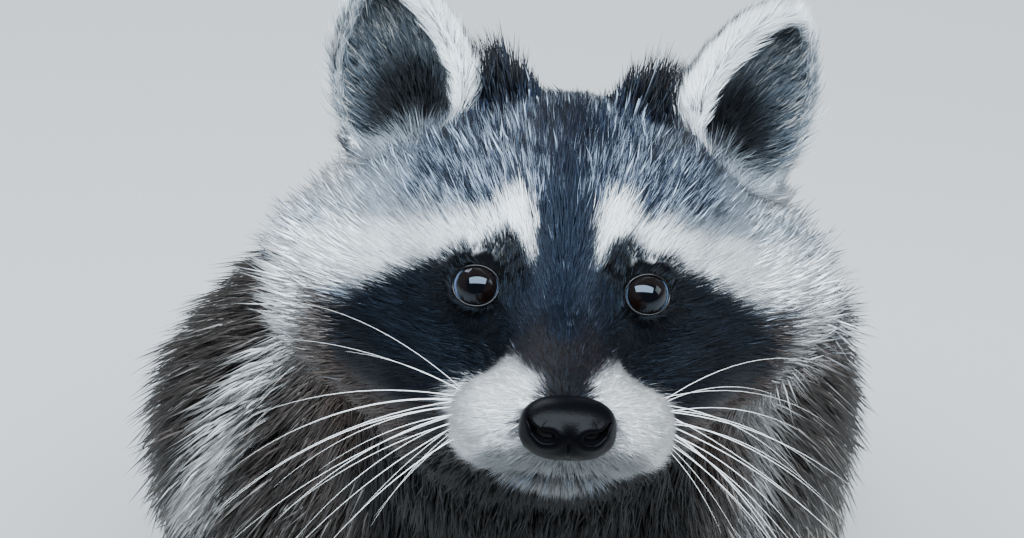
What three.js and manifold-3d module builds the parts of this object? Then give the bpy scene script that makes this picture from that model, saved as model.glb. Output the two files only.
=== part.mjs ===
// A raccoon at life size, sitting on its haunches with its head raised: a still model.
// Millimetres, +Z up. The animal faces -Y, its left side is +X, and it rests on the floor at z = 0.
// The solids reach out to the tips of the coat.
import * as THREE from "three";
import { mergeVertices } from "three/addons/utils/BufferGeometryUtils.js";
import Module from "manifold-3d";

const wasm = await Module();
wasm.setup();

const rad = THREE.MathUtils.degToRad;
const vec = (x, y, z) => new THREE.Vector3(x, y, z);

// ---- Driving dimensions ----
const GAP = 0.3; // between pieces that touch
const HEAD_CELL = 11.9; // mesh step of the head
const MUZZLE_CELL = 7.8; // mesh step of the muzzle and lower jaw
const TRUNK_CELL = 28; // mesh step of the trunk
const LEG_CELL = 15.5; // mesh step of the legs
const TAIL_CELL = 21; // mesh step of the tail
const HUGE = 1200; // side of a cutting box

const HEAD_LOW = vec(-100, -80, -75); // corners of each net, the head's in its own frame
const HEAD_HIGH = vec(100, 105, 70);
const MUZZLE_LOW = vec(-50, -80, -64);
const MUZZLE_HIGH = vec(50, 14, 22);
const BODY_LOW = vec(-150, -125, -4);
const BODY_HIGH = vec(150, 225, 300);
const TAIL_LOW = vec(-62, 138, -4);
const TAIL_HIGH = vec(222, 310, 84);
const FORE_LEG_REACH = [vec(GAP / 2, -140, -5), vec(84, 40, 116)];
const HIND_FOOT_REACH = [vec(60, -60, -5), vec(145, 100, 29)];
const THIGH_REACH = [vec(72, -60, -5), vec(145, 172, 138)];
const SIDES = [["l", 1], ["r", -1]];

const EYE_MIDPOINT = vec(-9, -100, 318); // the head's own origin
const HEAD_YAW = -6; // turned to its right
const HEAD_PITCH = 19; // nose raised
const HEAD_ROLL = 4.4; // left side lower

const EYE_RADIUS = 7.0;
const EYE_CENTRE = vec(22.6, -4.3, 1.9); // left eye, in the head's frame

const NOSE_CENTRE = vec(0, -61, -17);
const NOSE_SIZE = vec(12.2, 8.2, 8.4); // half sizes
const NOSTRIL_SIDE = 6.6;

const MUZZLE_ROOT = -13; // where the muzzle is parted from the head, in its frame
const MOUTH_LEVEL = -32;

const EAR_POSE = {
  l: { foot: vec(47.5, 47, 23), lean: 17, turn: 26 }, // lean outward, hollow turned outward
  r: { foot: vec(-42, 47, 25), lean: -11, turn: -22 },
};
const EAR_RAKE = 4; // tip back
const EAR_SHELL = vec(23, 13, 33.5); // half sizes
const EAR_SCOOP = vec(19.9, 13, 30);
const EAR_SCOOP_SHIFT = -5.2; // hollow's centre ahead of the shell's
const EAR_RISE = 20; // the shell's middle above its foot

const TOE_COUNT = 5;
const TOE_SINK = 1.0; // how far a toe's pad is flattened by the floor
const TOE_FAN = 7; // degrees between neighbouring toes
const FORE_TOE = { radius: 5.2, length: 24, spread: 8.0, claw: 11, root: 5 };
const HIND_TOE = { radius: 5.8, length: 25, spread: 8.4, claw: 10.5, root: 7 };
const FORE_HEADING = 4; // degrees the paws point outward
const HIND_HEADING = 9;
const CLAW_RADIUS = 1.7;
const CLAW_TIP = 0.35;
const CLAW_BEND = 2.6;
const CLAW_LIFT = 1.4; // above a toe's middle

const FORE_WRIST = vec(44, -66, 24);
const FORE_KNUCKLE = vec(44, -92, 9.5);
const HIND_HEEL = vec(84, 62, 17);
const HIND_KNUCKLE = vec(95, -18, 10);

// ---- Signed distance primitives ----
const point = new THREE.Vector3();

function ellipsoid(centre, radii) {
  return (p) => {
    const x = (p.x - centre.x) / radii.x;
    const y = (p.y - centre.y) / radii.y;
    const z = (p.z - centre.z) / radii.z;
    const k = Math.hypot(x, y, z);
    const g = Math.hypot(x / radii.x, y / radii.y, z / radii.z);
    return k < 1e-6 ? -Math.min(radii.x, radii.y, radii.z) : (k * (k - 1)) / g;
  };
}

// A round bar from a to b, its radius running from ra to rb.
function limb(a, b, ra, rb) {
  const along = b.clone().sub(a);
  const lengthSq = along.lengthSq();
  return (p) => {
    point.subVectors(p, a);
    const t = THREE.MathUtils.clamp(point.dot(along) / lengthSq, 0, 1);
    return point.addScaledVector(along, -t).length() - (ra + (rb - ra) * t);
  };
}

const mirrored = (v) => vec(-v.x, v.y, v.z);

function bothSides(make) {
  return [make((v) => v), make(mirrored)];
}

function smoothMin(a, b, k) {
  const h = Math.max(k - Math.abs(a - b), 0) / k;
  return Math.min(a, b) - h * h * k * 0.25;
}

function blend(fields, k) {
  return (p) => fields.reduce((sum, f) => smoothMin(sum, f(p), k), 1e3);
}

// ---- Head, in its own frame: x to its left, y back, z up, origin midway between the eyes ----
function headField() {
  const skull = blend(
    [
      ellipsoid(vec(0, 37, 7), vec(56, 47, 41)),
      ellipsoid(vec(0, 14, 14), vec(30, 26, 20)),
      ...bothSides((m) => ellipsoid(m(vec(20, 7, 13)), vec(17, 13, 10))),
      ...bothSides((m) => ellipsoid(m(vec(43, 46, 21)), vec(21, 19, 18))),
    ],
    10,
  );
  const cheeks = blend(
    [
      ...bothSides((m) => ellipsoid(m(vec(45, 37, -11)), vec(40, 30, 37))),
      ...bothSides((m) => ellipsoid(m(vec(28, 15, -24)), vec(23, 24, 20))),
      ellipsoid(vec(0, 34, -34), vec(46, 38, 28)),
    ],
    12,
  );
  const muzzle = blend(
    [
      limb(vec(0, -6, -13), vec(0, -46, -20), 20, 12),
      ...bothSides((m) => ellipsoid(m(vec(14.5, -40, -23)), vec(16.5, 19, 12.5))),
      ellipsoid(vec(0, -35, -33), vec(13, 17, 9.5)),
      ...bothSides((m) => limb(m(vec(5, -28, -33)), m(vec(22, 12, -38)), 9, 16)),
    ],
    8,
  );
  return blend([skull, cheeks, muzzle], 14);
}

// ---- Body, in the model's frame ----
function torsoField() {
  return blend(
    [
      limb(vec(-10, -52, 258), vec(0, 4, 208), 60, 76),
      ellipsoid(vec(-3, -6, 182), vec(87, 78, 84)),
      ellipsoid(vec(-60, 24, 166), vec(60, 58, 60)),
      ellipsoid(vec(53, 24, 178), vec(56, 58, 56)),
      ellipsoid(vec(-3, 50, 154), vec(133, 86, 88)),
      ellipsoid(vec(-2, 72, 106), vec(132, 104, 98)),
      ellipsoid(vec(0, 124, 70), vec(102, 82, 74)),
    ],
    26,
  );
}

function foreLegField(m) {
  return blend(
    [
      limb(m(vec(56, 0, 160)), m(vec(50, -20, 92)), 38, 24),
      limb(m(vec(50, -20, 92)), m(FORE_WRIST), 24, 14),
      limb(m(FORE_WRIST), m(FORE_KNUCKLE), 14, 11),
      ellipsoid(m(FORE_KNUCKLE), vec(21, 17, 10.5)),
    ],
    10,
  );
}

function hindLegField(m) {
  return blend(
    [
      ellipsoid(m(vec(86, 70, 76)), vec(46, 74, 66)),
      limb(m(vec(92, 14, 62)), m(HIND_HEEL), 26, 18),
      limb(m(HIND_HEEL), m(HIND_KNUCKLE), 18, 11.5),
      ellipsoid(m(HIND_KNUCKLE), vec(21, 20, 11.5)),
    ],
    12,
  );
}

const TAIL_POINTS = [
  { at: vec(0, 172, 44), r: 34 },
  { at: vec(8, 222, 33), r: 32 },
  { at: vec(32, 256, 31), r: 33 },
  { at: vec(70, 264, 32), r: 34 },
  { at: vec(108, 243, 31), r: 33 },
  { at: vec(130, 203, 26), r: 27 },
  { at: vec(136, 173, 17), r: 17 },
];

function tailField() {
  const bars = TAIL_POINTS.slice(1).map((to, i) =>
    limb(TAIL_POINTS[i].at, to.at, TAIL_POINTS[i].r, to.r),
  );
  return blend(bars, 10);
}

const headMatrix = new THREE.Matrix4()
  .makeRotationFromEuler(
    new THREE.Euler(rad(-HEAD_PITCH), rad(HEAD_ROLL), rad(HEAD_YAW), "ZXY"),
  )
  .setPosition(EYE_MIDPOINT);
const headInverse = headMatrix.clone().invert();

const head = headField();
const local = new THREE.Vector3();
const headInWorld = (p) => head(local.copy(p).applyMatrix4(headInverse));
const body = blend(
  [torsoField(), ...bothSides(foreLegField), ...bothSides(hindLegField)],
  16,
);
const whole = blend([body, headInWorld, tailField()], 22);

// ---- Surface of a field inside a box, as one closed net of quads ----
const CORNERS = [0, 1, 2, 3, 4, 5, 6, 7].map((i) => [i & 1, (i >> 1) & 1, (i >> 2) & 1]);
const EDGES = CORNERS.flatMap((a, i) =>
  CORNERS.map((b, j) => [i, j]).filter(
    ([, j]) =>
      j > i && Math.abs(a[0] - CORNERS[j][0]) + Math.abs(a[1] - CORNERS[j][1])
        + Math.abs(a[2] - CORNERS[j][2]) === 1,
  ),
);

function surfaceNet(field, low, high, cell) {
  const n = [0, 1, 2].map(
    (k) => Math.ceil((high.getComponent(k) - low.getComponent(k)) / cell) + 3,
  );
  const at = (i, j, k, out) =>
    out.set(low.x + (i - 1) * cell, low.y + (j - 1) * cell, low.z + (k - 1) * cell);
  const index = (i, j, k) => i + n[0] * (j + n[1] * k);
  const values = new Float64Array(n[0] * n[1] * n[2]);
  const p = new THREE.Vector3();
  for (let k = 0; k < n[2]; k++)
    for (let j = 0; j < n[1]; j++)
      for (let i = 0; i < n[0]; i++) {
        const rim = i === 0 || j === 0 || k === 0
          || i === n[0] - 1 || j === n[1] - 1 || k === n[2] - 1;
        values[index(i, j, k)] = rim ? cell : field(at(i, j, k, p));
      }
  while (fillSaddles(values, index, n));
  const vertexOf = new Map();
  const positions = [];
  for (let k = 0; k < n[2] - 1; k++)
    for (let j = 0; j < n[1] - 1; j++)
      for (let i = 0; i < n[0] - 1; i++) {
        const v = cellVertex(values, index, i, j, k);
        if (!v) continue;
        vertexOf.set(index(i, j, k), positions.length / 3);
        at(v.x, v.y, v.z, p);
        settle(field, p, cell);
        positions.push(p.x, p.y, p.z);
      }
  const geometry = new THREE.BufferGeometry();
  geometry.setAttribute("position", new THREE.Float32BufferAttribute(positions, 3));
  geometry.setIndex(netFaces(values, index, vertexOf, n));
  return geometry;
}

// Fills grid squares whose two diagonals differ in sign, so that the net has no pinched edge.
function fillSaddles(values, index, n) {
  const steps = [[1, n[0]], [1, n[0] * n[1]], [n[0], n[0] * n[1]]];
  let changed = false;
  for (let k = 0; k < n[2] - 1; k++)
    for (let j = 0; j < n[1] - 1; j++)
      for (let i = 0; i < n[0] - 1; i++)
        for (const [a, b] of steps) {
          const o = index(i, j, k);
          const s = [o, o + a, o + b, o + a + b].map((q) => values[q] < 0);
          if (s[0] !== s[3] || s[1] !== s[2] || s[0] === s[1]) continue;
          for (const q of s[0] ? [o + a, o + b] : [o, o + a + b]) values[q] = -1e-3;
          changed = true;
        }
  return changed;
}

// Mean of the crossings on a cell's edges.
function cellVertex(values, index, i, j, k) {
  const corner = CORNERS.map(([a, b, c]) => values[index(i + a, j + b, k + c)]);
  const mean = vec(0, 0, 0);
  let count = 0;
  for (const [a, b] of EDGES) {
    if (corner[a] < 0 === corner[b] < 0) continue;
    const t = corner[a] / (corner[a] - corner[b]);
    mean.x += i + CORNERS[a][0] + t * (CORNERS[b][0] - CORNERS[a][0]);
    mean.y += j + CORNERS[a][1] + t * (CORNERS[b][1] - CORNERS[a][1]);
    mean.z += k + CORNERS[a][2] + t * (CORNERS[b][2] - CORNERS[a][2]);
    count++;
  }
  return count ? mean.divideScalar(count) : null;
}

// Moves a point of the net along the slope onto the field's zero.
function settle(field, p, cell) {
  const h = 0.5;
  const q = new THREE.Vector3();
  const slope = new THREE.Vector3();
  const f = field(p);
  for (const axis of ["x", "y", "z"]) {
    q.copy(p);
    q[axis] += h;
    slope[axis] = (field(q) - f) / h;
  }
  const length = Math.max(slope.length(), 0.3);
  p.addScaledVector(slope, THREE.MathUtils.clamp(-f / length, -cell / 3, cell / 3) / length);
}

function netFaces(values, index, vertexOf, n) {
  const faces = [];
  const quad = (a, b, c, d, flip) =>
    faces.push(...(flip ? [a, c, b, a, d, c] : [a, b, c, a, c, d]));
  const v = (i, j, k) => vertexOf.get(index(i, j, k));
  for (let k = 0; k < n[2] - 1; k++)
    for (let j = 0; j < n[1] - 1; j++)
      for (let i = 0; i < n[0] - 1; i++) {
        const inside = values[index(i, j, k)] < 0;
        const crosses = (a, b, c) => inside !== values[index(i + a, j + b, k + c)] < 0;
        if (j && k && crosses(1, 0, 0))
          quad(v(i, j - 1, k - 1), v(i, j, k - 1), v(i, j, k), v(i, j - 1, k), !inside);
        if (i && k && crosses(0, 1, 0))
          quad(v(i - 1, j, k - 1), v(i - 1, j, k), v(i, j, k), v(i, j, k - 1), !inside);
        if (i && j && crosses(0, 0, 1))
          quad(v(i - 1, j - 1, k), v(i, j - 1, k), v(i, j, k), v(i - 1, j, k), !inside);
      }
  return faces;
}

// ---- Joining and cutting ----
function solid(geometry, matrix) {
  const bare = geometry.index ? geometry.toNonIndexed() : geometry.clone();
  bare.deleteAttribute("normal");
  bare.deleteAttribute("uv");
  if (matrix) bare.applyMatrix4(matrix);
  const merged = mergeVertices(bare, 1e-3);
  return new wasm.Manifold(
    new wasm.Mesh({
      numProp: 3,
      vertProperties: merged.attributes.position.array,
      triVerts: new Uint32Array(merged.index.array),
    }),
  );
}

const place = (at) => new THREE.Matrix4().makeTranslation(at.x, at.y, at.z);

// A box with one face through a point, filling the side that the normal leaves.
function cutter(at, normal) {
  const turn = new THREE.Quaternion().setFromUnitVectors(vec(0, 0, 1), normal.clone().normalize());
  const m = new THREE.Matrix4().compose(at, turn, vec(1, 1, 1));
  return solid(new THREE.BoxGeometry(HUGE, HUGE, HUGE), m.multiply(place(vec(0, 0, -HUGE / 2))));
}

function block(low, high) {
  const size = high.clone().sub(low);
  const middle = low.clone().add(high).divideScalar(2);
  return solid(new THREE.BoxGeometry(size.x, size.y, size.z), place(middle));
}

// Parts a solid by a plane: what lies ahead of it and what lies behind it.
function part(piece, at, normal) {
  const step = normal.clone().normalize().multiplyScalar(GAP / 2);
  return [
    piece.subtract(cutter(at.clone().add(step), normal)),
    piece.intersect(cutter(at.clone().sub(step), normal)),
  ];
}

// Parts a solid by a tool: what lies inside it and what is left.
function partTool(piece, tool) {
  return [piece.intersect(tool(0)), piece.subtract(tool(GAP))];
}

function biggest(piece) {
  return piece.decompose().reduce((a, b) => (a.volume() > b.volume() ? a : b));
}

const aboveFloor = (piece) =>
  piece.subtract(block(vec(-HUGE, -HUGE, -HUGE), vec(HUGE, HUGE, 0)));

// ---- Head pieces ----
function ball(size, columns, rows) {
  return new THREE.SphereGeometry(1, columns, rows).rotateX(Math.PI / 2).scale(size.x, size.y, size.z);
}

const inHead = (m) => headMatrix.clone().multiply(m);

function eyeballMatrix(side) {
  return inHead(place(vec(side * EYE_CENTRE.x, EYE_CENTRE.y, EYE_CENTRE.z)));
}

function eyeball(side, radius) {
  return solid(ball(vec(radius, radius, radius), 10, 6), eyeballMatrix(side));
}

function nosePad(grow) {
  const g = ball(vec(NOSE_SIZE.x + grow, NOSE_SIZE.y + grow, NOSE_SIZE.z + grow), 11, 8);
  const p = g.attributes.position;
  for (let i = 0; i < p.count; i++) {
    const narrow = 1 - 0.14 * THREE.MathUtils.smoothstep(-p.getZ(i), 0, NOSE_SIZE.z);
    p.setX(i, p.getX(i) * narrow);
  }
  return solid(g, inHead(place(NOSE_CENTRE)));
}

function nose() {
  const nostrils = [-1, 1].map((side) => {
    const at = NOSE_CENTRE.clone().add(vec(side * NOSTRIL_SIDE, -NOSE_SIZE.y * 0.92, -0.6));
    return solid(ball(vec(3.0, 3.6, 2.4), 6, 4), inHead(place(at)));
  });
  return nostrils.reduce((piece, hole) => piece.subtract(hole), nosePad(0));
}

function earMatrix(pose) {
  const turn = new THREE.Euler(rad(-EAR_RAKE), rad(pose.lean), rad(pose.turn), "YXZ");
  return inHead(new THREE.Matrix4().makeRotationFromEuler(turn).setPosition(pose.foot));
}

// The ear's outer form, a little pointed toward the tip.
function earForm(pose, size, shift, grow) {
  const g = ball(vec(size.x + grow, size.y + grow, size.z + grow), 11, 8);
  const p = g.attributes.position;
  for (let i = 0; i < p.count; i++) {
    const taper = 1 - 0.14 * THREE.MathUtils.smoothstep(p.getZ(i), 0, size.z);
    p.setX(i, p.getX(i) * taper);
  }
  return solid(g, earMatrix(pose).multiply(place(vec(0, shift, EAR_RISE))));
}

const earHollow = (pose) => earForm(pose, EAR_SCOOP, EAR_SCOOP_SHIFT, 0);

function ear(pose) {
  return biggest(earForm(pose, EAR_SHELL, 0, 0).subtract(earHollow(pose)));
}

function headNet(low, high, cell) {
  const inOwnFrame = (q) => whole(q.clone().applyMatrix4(headMatrix));
  return solid(surfaceNet(inOwnFrame, low, high, cell), headMatrix);
}

function headPieces() {
  let [head] = part(headNet(HEAD_LOW, HEAD_HIGH, HEAD_CELL), ...neckCut());
  const pieces = { nose: nose() };
  for (const [key, side] of SIDES) {
    pieces[`ear_${key}`] = ear(EAR_POSE[key]);
    pieces[`eye_${key}`] = eyeball(side, EYE_RADIUS);
    head = head.subtract(earForm(EAR_POSE[key], EAR_SHELL, 0, GAP));
    head = biggest(head.subtract(earHollow(EAR_POSE[key])));
    head = head.subtract(eyeball(side, EYE_RADIUS + GAP));
  }
  pieces.head = head.subtract(muzzleBlock(GAP));
  const snout = headNet(MUZZLE_LOW, MUZZLE_HIGH, MUZZLE_CELL)
    .intersect(muzzleBlock(0))
    .subtract(nosePad(GAP));
  [pieces.lower_jaw, pieces.muzzle] = partTool(snout, jawBlock);
  return pieces;
}

const headPoint = (v) => v.clone().applyMatrix4(headMatrix);
const headDirection = (v) => v.clone().transformDirection(headMatrix);

// From the nape down to the throat behind the jaw.
function neckCut() {
  return [headPoint(vec(0, 46, -20)), headDirection(vec(0, -90, 62))];
}

function headBlock(low, high, grow) {
  const size = high.clone().sub(low).addScalar(2 * grow);
  const at = low.clone().add(high).divideScalar(2);
  return solid(new THREE.BoxGeometry(size.x, size.y, size.z), inHead(place(at)));
}

const muzzleBlock = (grow) =>
  headBlock(vec(-36, -90, -58), vec(36, MUZZLE_ROOT, 14), grow);
const jawBlock = (grow) =>
  headBlock(vec(-80, -120, -80), vec(80, 20, MOUTH_LEVEL), grow);

// ---- Paws ----
// Where each toe leaves the knuckles, and the way it points.
function toeRoots(toe, knuckle, side, heading) {
  const turn = side * rad(heading);
  const across = vec(Math.cos(turn), Math.sin(turn), 0);
  const ahead = vec(Math.sin(turn), -Math.cos(turn), 0);
  return Array.from({ length: TOE_COUNT }, (_, i) => {
    const fan = i - (TOE_COUNT - 1) / 2;
    const at = knuckle.clone()
      .addScaledVector(across, fan * toe.spread)
      .addScaledVector(ahead, toe.root - 1.9 * fan * fan);
    return { at: at.setZ(toe.radius + 2), heading: turn + rad(fan * TOE_FAN) };
  });
}

// A digit that slopes from its knuckle down to the floor.
function digit(toe, root) {
  const drop = root.at.z - (toe.radius - TOE_SINK);
  const turn = new THREE.Euler(Math.asin(drop / toe.length), 0, root.heading, "ZYX");
  const m = new THREE.Matrix4().makeRotationFromEuler(turn).setPosition(root.at);
  const g = new THREE.CapsuleGeometry(toe.radius, toe.length, 2, 6);
  return solid(g, m.multiply(place(vec(0, -toe.length / 2, 0))));
}

// A claw that tapers and bends down.
function claw(toe, root) {
  const g = new THREE.CylinderGeometry(CLAW_TIP, CLAW_RADIUS, toe.claw, 5, 2);
  g.translate(0, toe.claw / 2, 0).rotateX(Math.PI);
  const p = g.attributes.position;
  for (let i = 0; i < p.count; i++) {
    const t = p.getY(i) / toe.claw;
    p.setZ(i, p.getZ(i) * 1.25 - CLAW_BEND * t * t);
  }
  const out = toe.length + toe.radius * 0.97 + GAP;
  const at = root.at.clone().add(vec(Math.sin(root.heading) * out, -Math.cos(root.heading) * out, 0));
  at.setZ(toe.radius - TOE_SINK + CLAW_LIFT);
  const m = new THREE.Matrix4().makeRotationZ(root.heading).setPosition(at);
  return solid(g, m);
}

function addToes(pieces, name, toe, knuckle, side, heading) {
  const roots = toeRoots(toe, vec(side * knuckle.x, knuckle.y, knuckle.z), side, heading);
  pieces[name] = aboveFloor(
    roots.reduce((sum, root) => sum.add(digit(toe, root)), pieces[name]),
  );
  roots.forEach((root, i) => {
    const outward = side > 0 ? i + 1 : TOE_COUNT - i;
    pieces[`claw_${name}_${outward}`] = claw(toe, root);
  });
}

// ---- Trunk, legs and tail ----
function sideBlock(side, low, high) {
  return (grow) => {
    const x = [side * (low.x - grow), side * (high.x + grow)].sort((a, b) => a - b);
    return block(vec(x[0], low.y - grow, low.z - grow), vec(x[1], high.y + grow, high.z + grow));
  };
}

// Takes in the free part of a foreleg and leaves the belly behind it.
function foreLegTool(side) {
  const reach = sideBlock(side, ...FORE_LEG_REACH);
  return (grow) =>
    reach(grow).intersect(cutter(vec(0, 8 + grow, 116), vec(0, 94, -51)));
}

function legNet(side, low, high) {
  const x = [side * low.x, side * high.x].sort((a, b) => a - b);
  const net = surfaceNet(whole, vec(x[0], low.y, low.z), vec(x[1], high.y, high.z), LEG_CELL);
  return aboveFloor(solid(net));
}

function legPieces(pieces, trunk) {
  let rest = trunk;
  for (const [key, side] of SIDES) {
    const foreLeg = foreLegTool(side);
    const foot = sideBlock(side, ...HIND_FOOT_REACH);
    const thigh = sideBlock(side, ...THIGH_REACH);
    [pieces[`foreleg_${key}`], pieces[`forepaw_${key}`]] = part(
      biggest(legNet(side, ...FORE_LEG_REACH).intersect(foreLeg(0))),
      vec(side * FORE_WRIST.x, FORE_WRIST.y, FORE_WRIST.z), vec(0, 0.3, 1),
    );
    addToes(pieces, `forepaw_${key}`, FORE_TOE, FORE_KNUCKLE, side, FORE_HEADING);
    pieces[`hindfoot_${key}`] = legNet(side, ...HIND_FOOT_REACH).intersect(foot(0));
    addToes(pieces, `hindfoot_${key}`, HIND_TOE, HIND_KNUCKLE, side, HIND_HEADING);
    pieces[`thigh_${key}`] = biggest(
      rest.subtract(foot(GAP)).subtract(foreLeg(GAP)).intersect(thigh(0)),
    );
    for (const tool of [foreLeg, foot, thigh]) rest = rest.subtract(tool(GAP));
  }
  return rest;
}

const tailCut = () => [vec(0, 196, 58), vec(0, 0.75, -0.66)];

function bodyPieces() {
  const net = surfaceNet(whole, BODY_LOW, BODY_HIGH, TRUNK_CELL);
  const pieces = {};
  let rest = part(aboveFloor(solid(net)), ...neckCut())[1];
  rest = part(rest, ...tailCut())[1];
  [pieces.neck, rest] = part(rest, vec(0, -20, 222), vec(0, -42, 80));
  rest = legPieces(pieces, rest);
  [pieces.chest, rest] = part(rest, vec(0, 20, 150), vec(0, -60, 70));
  [pieces.belly, pieces.rump] = part(rest, vec(0, 112, 80), vec(0, -1, 0.35));
  return pieces;
}

function tailPieces() {
  const net = surfaceNet(whole, TAIL_LOW, TAIL_HIGH, TAIL_CELL);
  let [rest] = part(aboveFloor(solid(net)), ...tailCut());
  const pieces = {};
  [2, 3, 4].forEach((i, length) => {
    const tangent = TAIL_POINTS[i + 1].at.clone().sub(TAIL_POINTS[i - 1].at).setZ(0);
    [rest, pieces[`tail_${length + 1}`]] = part(rest, TAIL_POINTS[i].at, tangent);
  });
  return { ...pieces, tail_4: rest };
}

// ---- Materials and assembly ----
const finish = (color, roughness) =>
  new THREE.MeshStandardMaterial({ color, roughness, metalness: 0 });
const greyFur = finish(0x6e6964, 0.95);
const darkFur = finish(0x2a2624, 0.95);
const paleFur = finish(0xb4b2ac, 0.95);
const maskFur = finish(0x5a5a5c, 0.95);
const eyeGloss = finish(0x0c0908, 0.05);
const noseLeather = finish(0x0d0d0f, 0.3);
const clawHorn = finish(0x4a4038, 0.45);

function materialFor(name) {
  if (name.startsWith("claw")) return clawHorn;
  if (name.startsWith("eye")) return eyeGloss;
  if (name.startsWith("ear")) return paleFur;
  if (name === "nose") return noseLeather;
  if (name === "head") return maskFur;
  if (name === "lower_jaw" || name === "tail_4") return darkFur;
  return greyFur;
}

function toMesh(name, piece) {
  const m = piece.getMesh();
  const g = new THREE.BufferGeometry();
  g.setAttribute("position", new THREE.BufferAttribute(new Float32Array(m.vertProperties), 3));
  g.setIndex(new THREE.BufferAttribute(new Uint32Array(m.triVerts), 1));
  g.computeVertexNormals();
  const mesh = new THREE.Mesh(g, materialFor(name));
  mesh.name = name;
  return mesh;
}

const raccoon = new THREE.Group();
const pieces = { ...headPieces(), ...bodyPieces(), ...tailPieces() };
for (const [name, piece] of Object.entries(pieces)) raccoon.add(toMesh(name, biggest(piece)));
raccoon.position.copy(centreOnFloor(raccoon));

// The model's origin is on the floor, in the middle of its bounding box.
function centreOnFloor(group) {
  const box = new THREE.Box3().setFromObject(group, true);
  return vec(-(box.min.x + box.max.x) / 2, -(box.min.y + box.max.y) / 2, -box.min.z);
}

export default raccoon;
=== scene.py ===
import math
import bmesh
import bpy
import numpy as np
from mathutils import Matrix, Vector
from mathutils.bvhtree import BVHTree
from mathutils.kdtree import KDTree


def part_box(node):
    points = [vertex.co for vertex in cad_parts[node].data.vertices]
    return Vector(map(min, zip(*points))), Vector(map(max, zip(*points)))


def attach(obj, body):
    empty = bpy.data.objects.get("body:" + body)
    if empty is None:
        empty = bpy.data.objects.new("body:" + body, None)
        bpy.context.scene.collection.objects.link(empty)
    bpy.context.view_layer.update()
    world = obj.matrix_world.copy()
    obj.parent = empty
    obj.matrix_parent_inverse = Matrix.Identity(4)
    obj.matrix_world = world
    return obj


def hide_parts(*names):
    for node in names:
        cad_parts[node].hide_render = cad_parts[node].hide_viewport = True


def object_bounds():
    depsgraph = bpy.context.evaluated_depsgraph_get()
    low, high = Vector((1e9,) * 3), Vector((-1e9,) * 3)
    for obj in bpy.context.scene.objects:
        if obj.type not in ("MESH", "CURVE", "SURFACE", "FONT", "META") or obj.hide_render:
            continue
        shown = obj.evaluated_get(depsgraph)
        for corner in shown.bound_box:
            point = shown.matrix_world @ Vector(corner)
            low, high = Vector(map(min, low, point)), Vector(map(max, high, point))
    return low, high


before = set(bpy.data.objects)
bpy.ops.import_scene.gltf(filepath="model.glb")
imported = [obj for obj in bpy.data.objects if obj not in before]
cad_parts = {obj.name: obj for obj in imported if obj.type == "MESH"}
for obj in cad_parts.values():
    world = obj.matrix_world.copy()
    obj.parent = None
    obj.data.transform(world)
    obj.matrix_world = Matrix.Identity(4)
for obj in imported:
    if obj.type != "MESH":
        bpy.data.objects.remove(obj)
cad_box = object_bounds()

MM = 0.001
TINY = 1e-12
rng = np.random.default_rng(11)

# Three frames are used below. The scene is in metres. "Head" points are in mm about the
# point between the eyes: x to the animal's left, y back, z up. "Body" points are in mm
# about the point on the floor that the body is laid out from, with the scene's axes.
HEAD_YAW, HEAD_PITCH, HEAD_ROLL = -6.0, 19.0, 4.4
HEAD_IN_BODY = np.array([-9.0, -100.0, 318.0])
EYE = np.array([22.6, -4.3, 1.9])            # left eye in the head
EYE_RADIUS = 7.0
NOSE = np.array([0.0, -61.0, -17.0])
NOSE_HALF = np.array([12.2, 8.2, 8.4])
EARS = (         # side, foot in the head, lean outwards and turn in degrees
    (1, (47.5, 47, 23), 17, 26),
    (-1, (-42, 47, 25), -11, -22),
)
EAR_RAKE = 4
EAR_WIDE, EAR_DEEP, EAR_TALL = 23.0, 14.0, 33.5     # half sizes of an ear's oval shell
EAR_MIDDLE = 20.0                                   # height of its middle over the foot
EAR_GROOVE = (10.5, -16.0, 5.0)      # from an ear's foot, outward, back and up
TAIL_LINE = np.array([
    (0, 172, 44), (8, 222, 33), (32, 256, 31), (70, 264, 32),
    (108, 243, 31), (130, 203, 26), (136, 173, 17),
], float)


# ---- Small tools ----
def rot(axis, degrees):
    return np.array(Matrix.Rotation(math.radians(degrees), 3, axis))


def unit(v):
    return v / np.maximum(np.linalg.norm(v, axis=-1, keepdims=True), TINY)


def length_of(v):
    return np.linalg.norm(v, axis=-1)


def smooth(x, low, high):
    """0 up to low and 1 from high on, with a soft step between them."""
    t = np.clip((x - low) / (high - low), 0, 1)
    return t * t * (3 - 2 * t)


def mix(a, b, t):
    return a + (b - a) * t


def rgb(r, g, b):
    """A colour given in the usual 0 to 255 steps, as linear light."""
    c = np.array([r, g, b]) / 255
    return np.where(c <= 0.04045, c / 12.92, ((c + 0.055) / 1.055) ** 2.4)


def box_centre(node):
    low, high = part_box(node)
    return (np.array(low) + np.array(high)) / 2


HEAD_ROT = rot("Z", HEAD_YAW) @ rot("X", -HEAD_PITCH) @ rot("Y", HEAD_ROLL)
HEAD_ORIGIN = ((box_centre("eye_l") + box_centre("eye_r")) / 2
               - HEAD_ROT @ (EYE * (0, 1, 1)) * MM)
BODY_ORIGIN = HEAD_ORIGIN - HEAD_IN_BODY * MM


def to_head(p):
    return (p - HEAD_ORIGIN) @ HEAD_ROT / MM


def from_head(q):
    return np.asarray(q, float) * MM @ HEAD_ROT.T + HEAD_ORIGIN


def to_body(p):
    return (p - BODY_ORIGIN) / MM


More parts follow.
